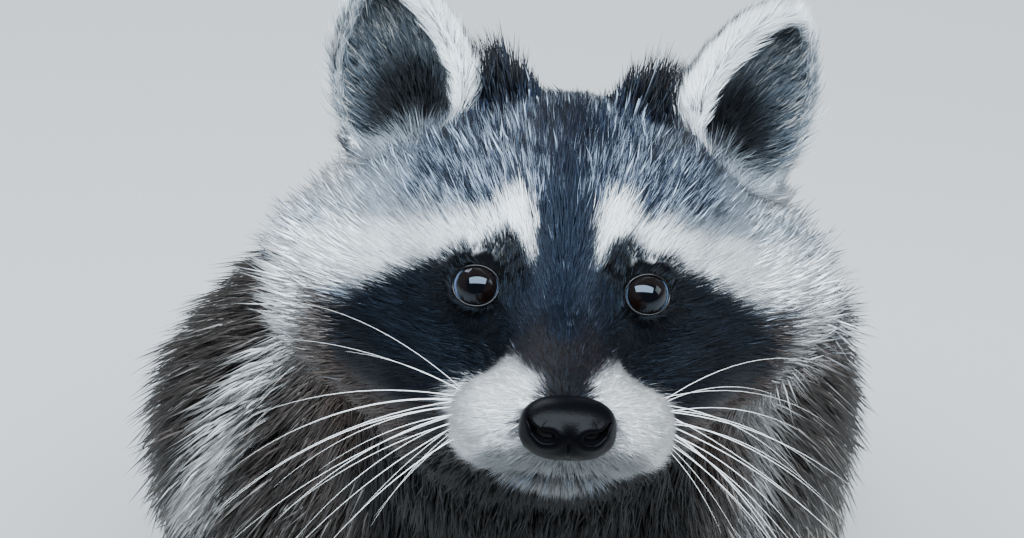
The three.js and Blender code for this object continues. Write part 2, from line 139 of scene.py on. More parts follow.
class Ear:
    """Points of the head in an ear's own frame: y back, z from foot to tip, "out" outwards."""

    def __init__(self, h, side, foot, lean, turn):
        self.side = side
        self.turn = rot("Y", lean) @ rot("X", -EAR_RAKE) @ rot("Z", turn)
        self.local = (h - np.array(foot, float)) @ self.turn
        self.out = self.local[:, 0] * side
        self.oval = np.hypot(self.local[:, 0] / EAR_WIDE,
                             (self.local[:, 2] - EAR_MIDDLE) / EAR_TALL)

    def facing(self, normal_head):
        """How far the surface looks forwards, out of the ear's hollow."""
        return -(normal_head @ self.turn)[:, 1]


def both_ears(h):
    return [Ear(h, *ear) for ear in EARS]


def ear_share(h):
    """1 inside either ear's oval and its hollow, 0 away from them."""
    size = np.array([EAR_WIDE, EAR_DEEP, EAR_TALL])
    reach = [length_of((ear.local - (0, -2, EAR_MIDDLE)) / size) for ear in both_ears(h)]
    return 1 - smooth(np.minimum(*reach), 0.98, 1.12)


def near_groove(h):
    """1 about the crease ahead of each ear's foot, where the head meets the ear's hollow."""
    gaps = [length_of(h - np.array(foot) - np.array(EAR_GROOVE) * (side, 1, 1))
            for side, foot, _, _ in EARS]
    return 1 - smooth(np.minimum(*gaps), 8, 17)


def steps_of(line):
    """Lengths of a bent line's straight parts, and each knot's share of the way."""
    steps = length_of(np.diff(line, axis=0))
    return steps, np.concatenate([[0], np.cumsum(steps)]) / steps.sum()


def along_line(points, line):
    """Distance to a bent line, share of the way along it, and the line's direction there."""
    steps, start = steps_of(line)
    best = np.full(len(points), np.inf)
    share = np.zeros(len(points))
    way = np.zeros((len(points), line.shape[1]))
    for i, (a, b) in enumerate(zip(line[:-1], line[1:])):
        t = np.clip((points - a) @ (b - a) / steps[i] ** 2, 0, 1)
        d = length_of(points - a - t[:, None] * (b - a))
        near = d < best
        best[near] = d[near]
        share[near] = start[i] + (start[i + 1] - start[i]) * t[near]
        way[near] = (b - a) / steps[i]
    return best, share, way


# ---- Camera, floor and light ----
CAM_AZIMUTH, CAM_ELEVATION, CAM_DISTANCE = math.radians(-8), math.radians(36), 0.650
CAM_LENS = 83.0
SENSOR = 36.0
EYES_IN_FRAME = (0.046631, 0.022705)     # right of and below the middle, in picture widths


def link(obj):
    bpy.context.scene.collection.objects.link(obj)
    return obj


def add_camera():
    back = Vector((math.sin(CAM_AZIMUTH) * math.cos(CAM_ELEVATION),
                   -math.cos(CAM_AZIMUTH) * math.cos(CAM_ELEVATION),
                   math.sin(CAM_ELEVATION)))
    right = Vector((math.cos(CAM_AZIMUTH), math.sin(CAM_AZIMUTH), 0))
    up = back.cross(right)
    width = CAM_DISTANCE * SENSOR / CAM_LENS
    cam = link(bpy.data.objects.new("camera", bpy.data.cameras.new("camera")))
    cam.data.lens = CAM_LENS
    cam.data.sensor_width = SENSOR
    cam.data.clip_start = 0.01
    across, down = EYES_IN_FRAME
    aim = Vector(HEAD_ORIGIN) - right * across * width + up * down * width
    turn = Matrix((right, up, back)).transposed().to_4x4()
    cam.matrix_world = Matrix.Translation(aim + back * CAM_DISTANCE) @ turn
    bpy.context.scene.camera = cam


FLOOR_HALF = 4.0         # metres
PAPER = (0.38, 0.38, 0.375, 1)
WORLD_COLOUR, WORLD_STRENGTH = (0.72, 0.85, 1.0, 1), 0.34
LIGHTS = (       # name, place, what it looks at, its two sides, power and colour
    ("sky_window", (-0.10, -0.62, 1.55), (0, -0.16, 0.3), (2.6, 0.9), 155, (0.80, 0.90, 1.0)),
    ("fill", (1.5, -0.3, 0.9), (0, -0.1, 0.2), (0.8, 0.8), 8, (1.0, 0.97, 0.93)),
    ("rim", (-0.5, 1.3, 1.3), (0, 0, 0.25), (1.2, 0.6), 20, (0.93, 0.96, 1.0)),
)


def add_stage():
    me = bpy.data.meshes.new("floor")
    s = FLOOR_HALF
    me.from_pydata([(-s, -s, 0), (s, -s, 0), (s, s, 0), (-s, s, 0)], [], [(0, 1, 2, 3)])
    floor = link(bpy.data.objects.new("floor", me))
    paper = Finish("floor_paper", 0.9, 0.5)
    paper.feed(paper.shader, {"Base Color": PAPER})
    me.materials.append(paper.mat)
    world = bpy.data.worlds.new("studio")
    world.use_nodes = True
    background = world.node_tree.nodes["Background"]
    background.inputs["Color"].default_value = WORLD_COLOUR
    background.inputs["Strength"].default_value = WORLD_STRENGTH
    bpy.context.scene.world = world
    for name, at, target, (wide, high), power, colour in LIGHTS:
        light = bpy.data.lights.new(name, "AREA")
        light.shape = "RECTANGLE"
        light.size, light.size_y = wide, high
        light.energy = power
        light.color = colour
        obj = link(bpy.data.objects.new(name, light))
        obj.location = at
        obj.rotation_euler = (Vector(target) - Vector(at)).to_track_quat("-Z", "Y").to_euler()


# ---- Mesh building ----
def mesh_from(name, verts, loops, starts):
    me = bpy.data.meshes.new(name)
    me.vertices.add(len(verts))
    me.vertices.foreach_set("co", np.ascontiguousarray(verts, np.float32).ravel())
    me.loops.add(len(loops))
    me.loops.foreach_set("vertex_index", np.ascontiguousarray(loops, np.int32))
    me.polygons.add(len(starts))
    me.polygons.foreach_set("loop_start", np.ascontiguousarray(starts, np.int32))
    me.polygons.foreach_set("use_smooth", np.ones(len(starts), bool))
    me.update(calc_edges=True)
    return me


def paint(me, colours):
    layer = me.color_attributes.new("Coat", "FLOAT_COLOR", "POINT")
    rgba = np.ones((len(me.vertices), 4), np.float32)
    rgba[:, :3] = colours
    layer.data.foreach_set("color", rgba.ravel())


def read(items, field, width, kind=np.float32):
    out = np.empty(len(items) * width, kind)
    items.foreach_get(field, out)
    return out.reshape(-1, width) if width > 1 else out


def coords(me):
    return read(me.vertices, "co", 3).astype(float)


def triangles(me):
    me.calc_loop_triangles()
    return read(me.loop_triangles, "vertices", 3, np.int32)


def vertex_normals(co, tri):
    face = np.cross(co[tri[:, 1]] - co[tri[:, 0]], co[tri[:, 2]] - co[tri[:, 0]])
    out = np.zeros_like(co)
    for axis in range(3):
        for corner in range(3):
            out[:, axis] += np.bincount(tri[:, corner], face[:, axis], len(co))
    return unit(out)


def averager(edges, count):
    """A function that replaces each vertex's value by the mean of its neighbours'."""
    degree = np.maximum(np.bincount(edges.ravel(), minlength=count), 1).astype(float)

    def average(values):
        flat = values.reshape(count, -1)
        out = np.empty_like(flat)
        for k in range(flat.shape[1]):
            out[:, k] = (np.bincount(edges[:, 0], flat[edges[:, 1], k], count)
                         + np.bincount(edges[:, 1], flat[edges[:, 0], k], count)) / degree
        return out.reshape(values.shape)

    return average


def blurred(values, average, share, passes):
    """Drawn towards the mean of the neighbours' values, some passes running."""
    for _ in range(passes):
        values = mix(values, average(values), share)
    return values


def tree_of(points):
    tree = KDTree(len(points))
    for i, p in enumerate(points):
        tree.insert(p, i)
    tree.balance()
    return tree


# ---- The skin: one closed surface through all the flesh ----
FLESH = [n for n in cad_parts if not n.startswith(("claw", "eye", "nose"))]
REGIONS = ["face", "muzzle", "ear", "neck", "chest", "trunk", "thigh", "leg", "foot", "tail"]
FACE, MUZZLE, EAR, TAIL = 0, 1, 2, 9
OF_HEAD, OF_BODY = slice(0, 3), slice(3, None)
REGION_STARTS = [
    ("head", "face"), ("eye", "face"), ("muzzle", "muzzle"), ("lower_jaw", "muzzle"),
    ("nose", "muzzle"), ("ear", "ear"), ("neck", "neck"), ("chest", "chest"),
    ("belly", "trunk"), ("rump", "trunk"), ("thigh", "thigh"), ("foreleg", "leg"),
    ("forepaw", "foot"), ("hindfoot", "foot"), ("tail", "tail"),
]
#            face muzzle ear neck chest trunk thigh leg foot tail
COAT_DEPTH = [5.0, 1.8, 0.9, 12.0, 13.0, 13.0, 11.0, 5.5, 1.6, 13.0]
CALM = [1.0, 0.9, 0.5, 1.0, 1.0, 1.0, 1.0, 0.9, 0.25, 1.0]        # share of smoothing taken
BULK = [0, 0, 0, 0.6, 1.0, 1.0, 1.0, 0.4, 0, 1.0]                 # and of the rounding off
THINNEST_SHARE = 0.36    # of the thickness of flesh and coat, the most the coat may take
FAR = 1000.0             # mm, where nothing is met
VOXEL = 2.0 * MM
SWELL = 0.7 * MM         # closes the thin gaps between the solids
SPREAD = 1.3             # how far a region's share is stretched, to be whole inside it
ROUNDING_PASSES = 40
INSET_STEPS = 10
FLOOR_GAP = 0.4 * MM     # kept between skin or coat and the floor


def region_of(node):
    return next(region for start, region in REGION_STARTS if node.startswith(start))


def solid_shell(names):
    """The named solids' surfaces as one list of triangles, each solid swollen a little."""
    verts, tris, owner, base = [], [], [], 0
    for name in names:
        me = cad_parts[name].data
        co, tri = coords(me), triangles(me)
        _, first, back = np.unique(np.round(co / 1e-6).astype(np.int64), axis=0,
                                   return_index=True, return_inverse=True)
        co, tri = co[first], back.reshape(-1)[tri]
        verts.append(co + vertex_normals(co, tri) * SWELL)
        tris.append(tri + base)
        owner += [REGIONS.index(region_of(name))] * len(tri)
        base += len(co)
    return np.concatenate(verts), np.concatenate(tris), owner


def remeshed(co, tri):
    me = bpy.data.meshes.new("shell")
    me.from_pydata(co.tolist(), [], tri.tolist())
    obj = link(bpy.data.objects.new("shell", me))
    mod = obj.modifiers.new("remesh", "REMESH")
    mod.mode = "VOXEL"
    mod.voxel_size = VOXEL
    deps = bpy.context.evaluated_depsgraph_get()
    out = bpy.data.meshes.new_from_object(obj.evaluated_get(deps))
    bpy.data.objects.remove(obj)
    return out


def refine(me, chosen):
    bm = bmesh.new()
    bm.from_mesh(me)
    pick = chosen(to_head(np.array([v.co for v in bm.verts])))
    edges = [e for e in bm.edges if pick[e.verts[0].index] or pick[e.verts[1].index]]
    bmesh.ops.subdivide_edges(bm, edges=edges, cuts=1, use_grid_fill=True)
    bm.to_mesh(me)
    bm.free()


def thickness(co, tri):
    """How far it is through the body behind each vertex, in mm."""
    tree = BVHTree.FromPolygons(co.tolist(), tri.tolist())
    inward = -vertex_normals(co, tri)
    start = co + inward * 0.2 * MM
    through = [tree.ray_cast(p, n)[3] for p, n in zip(start, inward)]
    return np.array([FAR if t is None else t / MM for t in through])


def mirrored(h):
    """Head points folded onto the animal's left half."""
    return np.stack([np.abs(h[:, 0]), h[:, 1], h[:, 2]], 1)


def unfolding(h):
    """What turns something laid out on the left half back to each point's own side."""
    return np.where(h[:, :1] < 0, -1, 1) * np.array([1, 0, 0]) + np.array([0, 1, 1])


def outward(x, y):
    """Distance from the middle of the head in mm, growing towards the back of the cheeks."""
    return x + 0.45 * np.maximum(y, 0)


def eye_distance(h):
    return length_of(mirrored(h) - EYE)


def face_depth(h):
    """Depth of the coat on the head in mm: least round the eyes and on the muzzle."""
    x, y, z = mirrored(h).T
    depth = mix(3.4, 10.0, smooth(outward(x, y), 52, 84))
    depth = mix(depth, 8.0, smooth(-z, 28, 50) * smooth(y, -20, 10))
    depth = mix(1.8, depth, smooth(y, -34, 0))
    return mix(1.5, depth, smooth(eye_distance(h), 9, 22)) + SWELL / MM


# The lids open about each eye's own axis; "turn" goes round it from the outer corner, up.
EYE_AXIS = unit(np.array([0.16, -0.93, 0.33]))
EYE_OUT = unit(np.cross([0, 0, 1.0], EYE_AXIS))
EYE_UP = np.cross(EYE_AXIS, EYE_OUT)
LID_CORNERS = (67.0, 57.0)        # half angle of the opening at outer and inner corner
LID_HEIGHTS = (47.0, 50.0)        # and at the upper and lower lid
LID_THICK, BEHIND_LID = 0.55, 1.6      # of the skin over the ball, and inside the opening
LID_REACH = 16.0                      # mm from the eye's centre


def eye_angles(m):
    """For points about the left eye's centre: angle off its axis, turn, distance."""
    r = length_of(m)
    cosine = np.clip(m @ EYE_AXIS / np.maximum(r, TINY), -1, 1)
    return np.degrees(np.arccos(cosine)), np.arctan2(m @ EYE_UP, m @ EYE_OUT), r


def lid_opening(turn):
    """Half angle of the opening between the lids, round the eye's axis."""
    c, s = np.cos(turn), np.sin(turn)
    corner = np.where(c > 0, *LID_CORNERS)
    height = np.where(s > 0, *LID_HEIGHTS)
    return 1 / np.sqrt((c / corner) ** 2 + (s / height) ** 2)


def shape_lids(h):
    """Draws the skin tight over each eyeball, opened between the lids."""
    fold = unfolding(h)
    m = h * fold - EYE
    theta, turn, r = eye_angles(m)
    edge = lid_opening(turn)
    target = np.where(theta < edge, EYE_RADIUS - BEHIND_LID, EYE_RADIUS + LID_THICK)
    w = (1 - smooth(theta, edge + 6, edge + 36)) * (r < LID_REACH)
    return (EYE + m * (mix(r, target, w) / np.maximum(r, TINY))[:, None]) * fold


MOUTH_LINE = ([-58, -44, -26, -8, 4], [-31.5, -32.5, -34.5, -33, -29])   # y, z of the lips
MOUTH_DEEP, MOUTH_WIDE = 1.4, 1.2


def shape_mouth(h):
    """A shallow groove along the closed lips."""
    along = smooth(h[:, 1], -62, -52) * (1 - smooth(h[:, 1], -4, 5))
    off = (h[:, 2] - np.interp(h[:, 1], *MOUTH_LINE)) / MOUTH_WIDE
    inward = unit(h * (1, 1, 0) - np.array([0, -20, 0]))
    return h - inward * (MOUTH_DEEP * np.exp(-off ** 2) * along)[:, None]


class Skin:
    """The skin's object with everything the coat needs to know about its vertices."""

    def __init__(self):
        full, shell, owner = solid_shell(FLESH + ["eye_l", "eye_r", "nose"])
        me = remeshed(full, shell)
        refine(me, lambda h: (h[:, 1] < 2) & (length_of(h) < 80))
        refine(me, lambda h: eye_distance(h) < 11.5)
        co, self.tri = coords(me), triangles(me)
        self.average = averager(read(me.edges, "vertices", 2, np.int32), len(co))
        nearest = BVHTree.FromPolygons(full.tolist(), shell.tolist()).find_nearest
        self.region = self.shares_of(co, [owner[nearest(p)[2]] for p in co])
        co = self.rounded(co)
        co = self.inset(co, self.coat_depth(co))
        head = to_head(co)
        near = length_of(head) < 110
        co[near] = from_head(shape_lids(shape_mouth(head[near])))
        me.vertices.foreach_set("co", co.astype(np.float32).ravel())
        me.polygons.foreach_set("use_smooth", np.ones(len(me.polygons), bool))
        me.update()
        me.name = "skin"
        self.obj = link(bpy.data.objects.new("skin", me))
        self.co, self.head, self.body = co, to_head(co), to_body(co)
        self.normal = vertex_normals(co, self.tri)

    def shares_of(self, co, owner):
        """Each vertex's share in each region, running softly from one to the next."""
        region = np.zeros((len(co), len(REGIONS)))
        region[np.arange(len(co)), owner] = 1
        region = blurred(region, self.average, 0.6, 18)
        ear = ear_share(to_head(co))[:, None]
        region = np.maximum(mix(region, 0, ear), ear * np.eye(len(REGIONS))[EAR])
        return region / region.sum(1, keepdims=True)

    def rounded(self, co):
        """Takes the steps off the surface, and the creases out of the body's bulk."""
        for share in [0.62, -0.60] * 14:
            co += (self.average(co) - co) * share * (self.region @ CALM)[:, None]
        soft = np.maximum(self.region @ BULK, near_groove(to_head(co)))[:, None]
        for _ in range(ROUNDING_PASSES):
            co += (self.average(co) - co) * 0.5 * soft
        return co

    def coat_depth(self, co):
        """Depth of the coat in mm, from outside to the skin and past the swelling."""
        region = self.region
        face = np.clip((region[:, FACE] + region[:, MUZZLE]) * SPREAD, 0, 1)
        depth = mix(region @ COAT_DEPTH, face_depth(to_head(co)), face)
        depth = blurred(depth, self.average, 0.6, 8)
        depth = np.minimum(depth, thickness(co, self.tri) * THINNEST_SHARE)
        depth = blurred(depth, self.average, 0.6, 3)
        self.depth = depth - SWELL / MM
        return depth

    def inset(self, co, depth):
        """Draws the surface in by that depth."""
        for _ in range(INSET_STEPS):
            co -= vertex_normals(co, self.tri) * (depth * MM / INSET_STEPS)[:, None]
            co += (self.average(co) - co) * 0.35 * (self.region @ CALM)[:, None]
        for _ in range(ROUNDING_PASSES):
            co += (self.average(co) - co) * 0.6 * (self.region @ BULK)[:, None]
        co[:, 2] = np.maximum(co[:, 2], FLOOR_GAP)
        return co


# ---- Markings, the same for skin and coat ----
# Each stroke is laid over the ones before it: colour, grizzle (how far single tufts stray
# from it, paler and darker), softness of its edge in mm, and a bent line of (x, y, z,
# radius) in the head, laid on both sides alike.
HEAD_STROKES = {
    "crown": (rgb(18, 26, 44), 1.0, 6, [(0, 10, 50, 26), (0, 60, 40, 40)]),
    "forehead": (rgb(38, 44, 57), 1.0, 6, [(10, -6, 26, 12), (30, 4, 27, 15), (48, 22, 22, 12)]),
    "temple": (rgb(160, 169, 179), 0.7, 6, [(47, 17, 25, 5), (54, 20, 20, 10), (66, 38, 12, 16)]),
    "nape": (rgb(105, 100, 96), 0.9, 10, [(0, 90, 0, 40), (0, 110, -40, 60)]),
    "cheek": (rgb(82, 70, 63), 0.45, 6, [(40, 8, -44, 18), (66, 30, -42, 22), (70, 70, -60, 26)]),
    "throat": (rgb(16, 13, 12), 0.4, 6, [(0, 0, -52, 22), (16, 14, -56, 24), (0, 60, -90, 40)]),
    "ruff": (rgb(214, 216, 216), 0.35, 6, [
        (58, 46, 20, 12), (66, 26, 6, 12), (76, 26, -12, 12)]),
    "bridge": (rgb(29, 33, 43), 0.4, 3, [(0, -44, -8, 14), (0, -24, 0, 17), (0, -9, 14, 12)]),
    "brow_haze": (rgb(176, 184, 190), 0.8, 5, [
        (30, -2, 17, 3), (42, 5, 13, 5.5), (56, 15, 9, 10), (70, 26, 6, 14)]),
    "brow": (rgb(244, 248, 249), 0.3, 2.4, [
        (18, -9, 18, 2.6), (24, -7, 16, 3.8), (32, -3, 12.5, 4.8), (41, 3, 8, 6.4), (51, 9, 4, 8),
        (63, 17, 0, 9.5), (75, 27, -4, 10)]),
    "brow_foot": (rgb(247, 250, 250), 0.12, 1.4, [
        (10.6, -13.2, 12, 2.0), (12.0, -11, 17.5, 4.2), (13.6, -8.5, 22.5, 4.8)]),
    "mask_edge": (rgb(64, 52, 47), 0.25, 3, [
        (40, -2, -34, 10), (52, 8, -30, 14), (61, 15, -20, 9)]),
    "mask": (rgb(8, 13, 21), 0.33, 2, [
        (17, -14, 3, 8.5), (30, -5, -5, 13.5), (43, 3, -16, 14), (53, 10, -22, 11)]),
    "mask_low": (rgb(8, 13, 21), 0.33, 2, [
        (18, -18, -6, 7), (27, -14, -14, 9), (36, -6, -22, 11), (47, 3, -27, 10)]),
    "snout_side": (rgb(33, 27, 28), 0.25, 5, [(0, -48, -8, 8), (6, -34, -4, 9)]),
    "snout_top": (rgb(27, 22, 24), 0.2, 4, [(0, -52, -8, 7), (0, -40, -3, 7)]),
    "nose_root": (rgb(12, 10, 12), 0.1, 2, [(0, -56, -8, 6), (0, -49, -6, 5.5)]),
    "crown_dark": (rgb(15, 21, 36), 0.52, 6, [(0.5, -8, 26, 5), (1, -2, 36, 9), (0, 14, 48, 13)]),
    "blaze": (rgb(16, 23, 36), 0.42, 2.6, [
        (0, -30, 1, 6), (0, -14, 12, 4.6), (0.3, -9, 22, 4.4), (1, -5, 30, 4.0)]),
    "muzzle": (rgb(252, 253, 253), 0.36, 1.4, [
        (12.5, -46, -17, 10), (18, -36, -18.5, 12), (22.5, -28.5, -24.5, 13.5),
        (23, -20, -31, 11)]),
    "muzzle_side": (rgb(252, 253, 253), 0.36, 1.4, [(15, -52, -24, 10), (26, -40, -25, 13)]),
    # Grey band just under the nose, over the white muzzle: painted shade under the nose.
    "shade_under_nose": (rgb(160, 162, 161), 0.5, 1.4, [(0, -57, -28, 5), (14, -53, -28, 7)]),
    "chin": (rgb(28, 25, 24), 0.4, 2.5, [
        (0, -34, -50, 9), (14, -34, -49, 9.5), (22, -28, -46, 10.5), (26, -16, -44, 12),
        (31, -4, -43, 9)]),
    "chin_tip": (rgb(150, 150, 147), 0.25, 2, [(0, -50, -39, 5), (9, -45, -41, 4.5)]),
    "nose_bed": (rgb(4, 4, 5), 0.0, 1, [(0, -60, -17, 8), (5, -59, -17, 8)]),
    "lid": (rgb(7, 8, 10), 0.3, 1.2, [
        (15.5, -11, 10.5, 6), (20, -6, 4.8, 10.1), (24, -4, 3.3, 10.6)]),
}
# The pale bands from the cheeks down the neck, over head and body alike.
RUFF_BAND_EDGE, RUFF_BAND_SHARE = 6, 0.92
RUFF_BANDS = (
    (rgb(226, 227, 225), 0.2, [
        (-75, 18, -8, 7), (-76, 21, -18, 6.5), (-79, 31, -28, 7), (-84, 80, -42, 9),
        (-88, 122, -56, 10), (-96, 126, -74, 8), (-102, 125, -89, 8.5), (-107, 126, -104, 9),
        (-113, 135, -122, 9), (-119, 148, -142, 8)]),
    (rgb(174, 175, 174), 0.25, [
        (74, 17, -10, 6), (72, 18, -22, 5), (71, 24, -33, 5), (72, 44, -42, 8),
        (76, 72, -54, 9), (83, 104, -67, 8), (81, 96, -82, 8), (82, 99, -98, 8),
        (82, 104, -116, 7)]),
    (rgb(138, 128, 122), 0.35, [
        (-67, 12, -8, 2.5), (-67, 13, -16, 3), (-66, 14, -23, 3), (-70, 20, -31, 4)]),
)
# The dark throat, likewise over head and neck.
THROAT_DARK = rgb(9, 7, 6), 0.36
THROAT_EDGE = 13
THROAT_LINES = ([(0, 16, -68, 28), (0, 42, -94, 42), (0, 66, -126, 34)],
                [(38, 34, -70, 16), (46, 52, -88, 22), (40, 64, -112, 22)])
# Black hair behind and between the ears, from each ear's foot outward, back and up.
EAR_FRINGE = [(-33, -13, 12, 4), (-27, -9, 17, 6), (-20, -4, 20, 8.5), (-12, 4, 19, 10),
              (-4, 14, 12, 9)]
FRINGE_EDGE = 4.5
FRINGE_BLACK = rgb(7, 8, 12), 0.12
HEAD_BASE = rgb(72, 70, 70), 0.9
SKIN_SHADE = 0.62          # the skin is darker than the coat over it
EAR_BACK = rgb(28, 28, 34), 0.5
EAR_RIM = rgb(234, 239, 240), 0.4
EAR_INNER = rgb(80, 89, 97), 0.7
EAR_LOW = rgb(168, 177, 184), 0.4
# Near-black in each ear's hollow: painted shade in the recess.
EAR_HOLLOW_SHADE = rgb(9, 10, 12), 0.25
HOLLOW_AT, HOLLOW_RADIUS = (0.5, 9.0), 14.5          # outwards and up from the ear's foot
BODY_COLOURS = {
    # The chest is painted darker than the neck and trunk: painted shade under the head.
    "neck": (rgb(84, 76, 71), 0.5), "chest": (rgb(62, 56, 52), 0.6),
    "trunk": (rgb(88, 81, 75), 0.8), "thigh": (rgb(98, 91, 84), 0.9),
    "leg": (rgb(78, 71, 65), 0.7), "foot": (rgb(118, 112, 104), 0.85),
    "tail": (rgb(148, 140, 128), 0.45),
}
BACK_DARK = rgb(50, 46, 43), 1.0
TAIL_DARK = rgb(24, 21, 20), 0.4
TAIL_RINGS = 6.0


def plain(over, count):
    return np.repeat(over[0][None], count, 0), np.full(count, over[1])


def lay(under, over, amount):
    """One colour and grizzle over another, as far as the amount says."""
    amount = np.clip(amount, 0, 1)
    return mix(under[0], over[0], amount[:, None]), mix(under[1], over[1], amount)


def stroke_cover(points, line, soft):
    line = np.array(line, float)
    share = along_line(points, line[:, :3])[1]
    knots = steps_of(line[:, :3])[1]
    near = np.stack([np.interp(share, knots, line[:, k]) for k in range(4)], 1)
    return 1 - smooth(length_of(points - near[:, :3]) - near[:, 3], -soft, soft)


def ear_fringe(h, wider=0):
    """Cover of the black hair that stands behind the ears."""
    return np.maximum(*(
        stroke_cover(h, np.array(EAR_FRINGE) * (side, 1, 1, 1) + (*foot, wider), FRINGE_EDGE)
        for side, foot, _, _ in EARS))


def body_marking(body, normal, region):
    shares = region[:, OF_BODY] / np.maximum(region[:, OF_BODY].sum(1, keepdims=True), TINY)
    tone = (shares @ np.array([BODY_COLOURS[name][0] for name in REGIONS[OF_BODY]]),
            shares @ np.array([BODY_COLOURS[name][1] for name in REGIONS[OF_BODY]]))
    back = smooth(normal[:, 1] * 0.8 + normal[:, 2] * 0.6, 0.1, 0.8)
    back = back * (1 - smooth(np.abs(body[:, 0]), 30, 90)) * (1 - region[:, TAIL])
    tone = lay(tone, BACK_DARK, back * 0.8)
    share = along_line(body, TAIL_LINE)[1]
    ring = 0.5 - 0.5 * np.cos(2 * math.pi * (share * TAIL_RINGS + 0.2))
    dark = np.maximum(smooth(ring, 0.42, 0.68), smooth(share, 0.88, 0.93))
    return lay(tone, TAIL_DARK, dark * smooth(region[:, TAIL], 0.4, 0.8))


def ear_marking(ear, facing, count):
    tone = lay(plain(EAR_BACK, count), EAR_INNER, smooth(facing, -0.15, 0.25))
    height = ear.local[:, 2]
    # Painted shade in the ear's hollow, on the side that faces forwards.
    hollow_shade = np.hypot((ear.out - HOLLOW_AT[0]) * 1.15, (height - HOLLOW_AT[1]) * 0.8)
    hollow_shade = 1 - smooth(hollow_shade / HOLLOW_RADIUS, 0.45, 1.3)
    tone = lay(tone, EAR_HOLLOW_SHADE, hollow_shade * smooth(facing, -0.1, 0.3))
    front = smooth(-ear.out, -4, 12)
    rim = smooth((ear.oval - 0.79 + 0.38 * front) / (0.16 + 0.34 * front), 0, 1)
    rim = rim * smooth(height + ear.out, -18, -4)
    tone = lay(tone, EAR_RIM, rim * smooth(facing, -0.6, -0.1))
    low = (1 - smooth(height, -6, 7)) * smooth(ear.out, -16, -4)
    return lay(tone, EAR_LOW, low * smooth(facing, -1, -0.6))


def marking(h, body, normal, region):
    """Colour and grizzle at each point of skin or coat."""
    folded = mirrored(h)
    tone = plain(HEAD_BASE, len(h))
    for shade, grey, soft, line in HEAD_STROKES.values():
        tone = lay(tone, (shade, grey), stroke_cover(folded, line, soft))
    behind = smooth(h[:, 1] - 0.35 * (h[:, 2] + 40), 84, 112)
    away = smooth(length_of(h - (0, 20, -20)), 92, 118)
    on_body = np.maximum(behind * smooth(region[:, OF_HEAD].sum(1), 1, 0.2),
                         away * smooth(region[:, OF_BODY].sum(1), 0.55, 0.95))
    tone = lay(tone, body_marking(body, normal, region), on_body)
    dark = np.maximum(*(stroke_cover(folded, line, THROAT_EDGE) for line in THROAT_LINES))
    tone = lay(tone, THROAT_DARK, dark * smooth(-h[:, 2], 46, 60))
    for shade, grey, line in RUFF_BANDS:
        band = stroke_cover(h, line, RUFF_BAND_EDGE) * (1 - region[:, EAR])
        tone = lay(tone, (shade, grey), RUFF_BAND_SHARE * band)
    tone = lay(tone, FRINGE_BLACK, ear_fringe(h, 3))
    for ear in both_ears(h):
        here = region[:, EAR] * (h[:, 0] * ear.side > 0)
        mark = ear_marking(ear, ear.facing(normal @ HEAD_ROT), len(h))
        tone = lay(tone, mark, smooth(here, 0.45, 0.85))
    return tone


# ---- The lie of the coat ----
SPINE_WAY = unit(np.array([0, 0.62, -0.78]))
DOWN = np.array([0, 0, -1.0])
PAW_TURN = 7             # degrees each foot's toes point outwards
LIE_PASSES = 10


def tangent(v, normal):
    return unit(v - normal * (v * normal).sum(1, keepdims=True))


def lie_of_coat(skin):
    """Which way the hair points at each vertex of the skin, along the surface."""
    h, b, n, region = skin.head, skin.body, skin.normal, skin.region
    head = unit(h - np.array([0, -52, -16]))
    head = mix(head, np.array([0, 0.55, -0.6]), smooth(h[:, 1], 30, 95)[:, None])
    round_eye = (1 - smooth(eye_distance(h), 9, 16))[:, None]
    head = mix(head, unit(mirrored(h) - EYE) * unfolding(h), 0.8 * round_eye)
    lies = {"face": head @ HEAD_ROT.T, "muzzle": head @ HEAD_ROT.T}
    on_ear = np.zeros_like(h)
    for ear in both_ears(h):
        across, height = ear.local[:, 0], ear.local[:, 2]
        front = smooth(ear.facing(n @ HEAD_ROT), -0.2, 0.3)[:, None]
        rise = np.maximum(height - 2, 5)
        spread = unit(np.stack([across * 1.1, np.full(len(h), -3.0), rise], 1))
        up = unit(np.stack([across * 0.012, np.zeros(len(h)), np.ones(len(h))], 1))
        here = (h[:, 0] * ear.side > 0)[:, None]
        on_ear = np.where(here, mix(up, spread, front) @ ear.turn.T, on_ear)
    lies["ear"] = on_ear @ HEAD_ROT.T
    lies["neck"] = unit(unit(b - np.array([0, -60, 300])) * (0.8, 0.5, 0.5) + DOWN * 1.7)
    lies["chest"] = unit(b * (0.004, 0, 0) + np.array([0, 0.15, -1.0]))
    lies["trunk"] = unit(SPINE_WAY + 0.3 * DOWN + b * (0.003, 0, 0))
    lies["thigh"] = np.array([0.0, 0.1, -1.0])
    lies["leg"] = np.array([0.0, -0.15, -1.0])
    toes = math.radians(PAW_TURN)
    lies["foot"] = np.stack([np.sign(b[:, 0]) * math.sin(toes), np.full(len(b), -1.0),
                             np.full(len(b), -0.25)], 1)
    lies["tail"] = along_line(b, TAIL_LINE)[2]
    flow = sum(region[:, [k]] * lies[name] for k, name in enumerate(REGIONS))
    flow = tangent(flow, n)
    for _ in range(LIE_PASSES):
        flow = tangent(mix(flow, skin.average(flow), 0.6), n)
    return flow


#             face muzzle ear neck chest trunk thigh leg foot tail
LENGTH = [8.6, 4.4, 6.5, 27, 30, 32, 26, 14, 6.0, 30]       # mm
WIDTH = [0.40, 0.31, 0.38, 0.85, 1.0, 1.35, 1.25, 0.8, 0.5, 1.3]
LIFT = [20, 19, 20, 26, 26, 26, 22, 18, 14, 30]             # degrees off the skin
DENSITY = [4.4, 6.4, 4.8, 0.34, 0.25, 0.17, 0.15, 0.30, 1.6, 0.2]    # tufts per mm2
LIP_STYLE, INNER_EAR_STYLE = (7.5, 0.3, 30, 5.4), (9.5, 0.38, 27, 4.6)
OWN_EAR = 40.0           # mm, within which a point is on this ear and not the other


